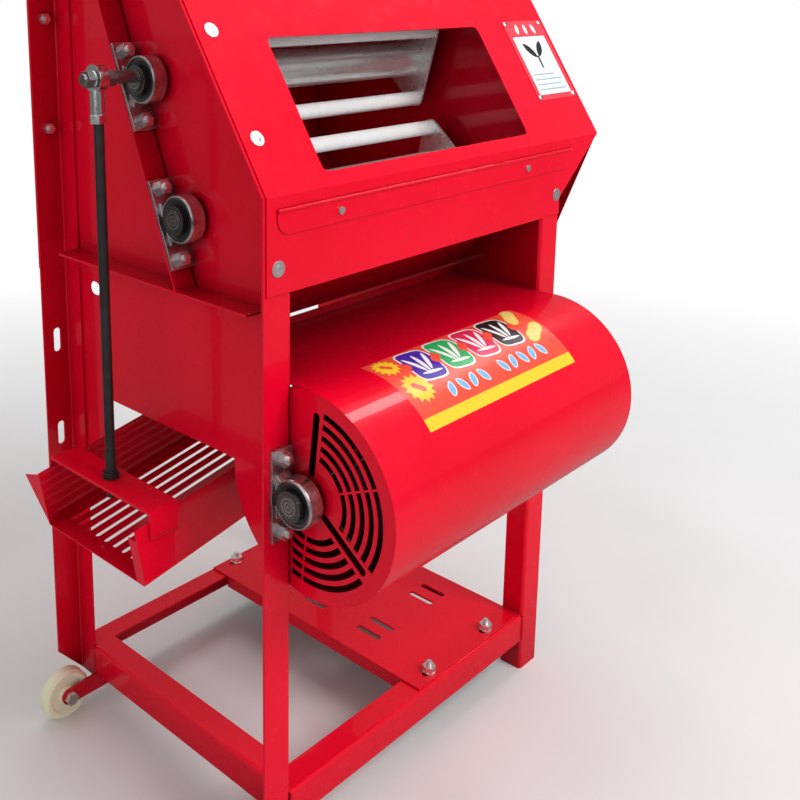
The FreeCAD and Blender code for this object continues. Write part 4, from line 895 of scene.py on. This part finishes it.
def floor_finish():
    """Pale floor that fades to white away from the machine and shows darker in its reflections."""
    f = Finish("pale_floor")
    path = f.node("ShaderNodeLightPath")
    pale = f.ramp(f.noise(3.0, 2.0), 0.3, 0.7, 0.78, 0.82)
    base = f.mix(path.outputs["Is Glossy Ray"], pale, (0.30, 0.29, 0.29))
    f.join(base, f.shader.inputs["Base Color"])
    f.set(Roughness=0.7, Specular_IOR_Level=0.2)
    far = f.node("ShaderNodeVectorMath", operation="LENGTH")
    f.join(f.place, far.inputs[0])
    reach = f.ramp(f.calc("MULTIPLY", far.outputs["Value"], 0.2), 0.16, 0.46)
    amount = f.calc("MULTIPLY", reach, path.outputs["Is Camera Ray"])
    bright = f.put(f.node("ShaderNodeEmission"), Strength=1.0)
    blend = f.node("ShaderNodeMixShader")
    for source, target in zip((amount, f.shader.outputs[0], bright.outputs[0]), blend.inputs):
        f.join(source, target)
    f.join(blend.outputs[0], f.tree.nodes["Material Output"].inputs["Surface"])
    return f.material


def build_floor():
    built = bmesh.new()
    bmesh.ops.create_grid(built, x_segments=1, y_segments=1, size=14.0)
    floor = plain_mesh("floor", built)
    floor.materials.append(floor_finish())
    add_object("floor", floor)


def build_world():
    """Even soft light, brighter from overhead in reflections, and white to the camera."""
    world = bpy.data.worlds.new("studio")
    scene.world = world
    world.use_nodes = True
    w = Tree(world.node_tree)
    path = w.node("ShaderNodeLightPath")
    parts = w.node("ShaderNodeSeparateXYZ")
    w.join(w.node("ShaderNodeTexCoord").outputs["Generated"], parts.inputs[0])
    sky = w.put(w.node("ShaderNodeMapRange"), From_Min=0.60, From_Max=0.85, To_Min=0.30, To_Max=0.95,
                Value=parts.outputs["Z"])
    strength = 0.40
    for ray, seen in (("Is Glossy Ray", sky.outputs["Result"]), ("Is Camera Ray", 1.0)):
        blend = w.put(w.node("ShaderNodeMix"), Factor=path.outputs[ray], A=strength, B=seen)
        strength = blend.outputs["Result"]
    w.put(w.tree.nodes["Background"], Strength=strength, Color=(1.0, 1.0, 1.0, 1.0))


def add_lamp(name, spot, aim, size, power):
    lamp = bpy.data.lights.new(name, "AREA")
    lamp.shape = "RECTANGLE"
    lamp.size, lamp.size_y = size
    lamp.energy = power
    made = add_object(name, lamp)
    made.location = spot
    made.rotation_euler = (Vector(aim) - Vector(spot)).to_track_quat("-Z", "Y").to_euler()


def build_camera():
    """Camera off the tray side, at hood height, turned 46 degrees and tipped 11 degrees down."""
    turn, tip, roll = math.radians(-45.94), math.radians(11.41), math.radians(0.30)
    picture, focal_pixels, sensor = 800.0, 1048.6, 36.0
    back = Vector((math.sin(turn) * math.cos(tip), -math.cos(turn) * math.cos(tip), math.sin(tip)))
    side = Vector((math.cos(turn), math.sin(turn), 0.0))
    up = side.cross(-back)
    across = side * math.cos(roll) + up * math.sin(roll)
    upward = up * math.cos(roll) - side * math.sin(roll)
    lens = bpy.data.cameras.new("camera")
    # The height sets the picture. The width is narrow, so that turned views stand back far
    # enough to take in the whole machine beside the middle of the shifted lens.
    lens.sensor_fit = "VERTICAL"
    lens.sensor_height = sensor
    lens.sensor_width = 19.5
    lens.lens = sensor * focal_pixels / picture
    lens.shift_x = 0.1107
    lens.shift_y = -0.2642
    lens.clip_start = 0.05
    made = add_object("camera", lens)
    turned = Matrix((across, upward, back)).transposed().to_4x4()
    made.matrix_world = Matrix.Translation(place(-715.84, -761.84, 1037.53)) @ turned
    scene.camera = made


paint_nodes()
build_decal()
build_nameplate()
build_welds()
build_bearing_details()
build_fastener_details()
build_drum_rims()
build_floor()
build_world()
build_camera()
add_lamp("key", (0.5, -2.3, 2.5), (0.0, 0.0, 0.6), (1.5, 1.5), 60.0)
add_lamp("fill", (-2.6, -0.6, 1.5), (0.0, 0.0, 0.5), (1.8, 1.8), 8.0)
add_lamp("top", (0.1, 0.6, 2.8), (0.0, 0.0, 0.5), (1.4, 1.4), 16.0)
add_lamp("streak", (2.1, -0.15, 2.75), (0.0, -0.1, 0.6), (0.5, 0.9), 12.0)
scene.view_settings.view_transform = "Standard"
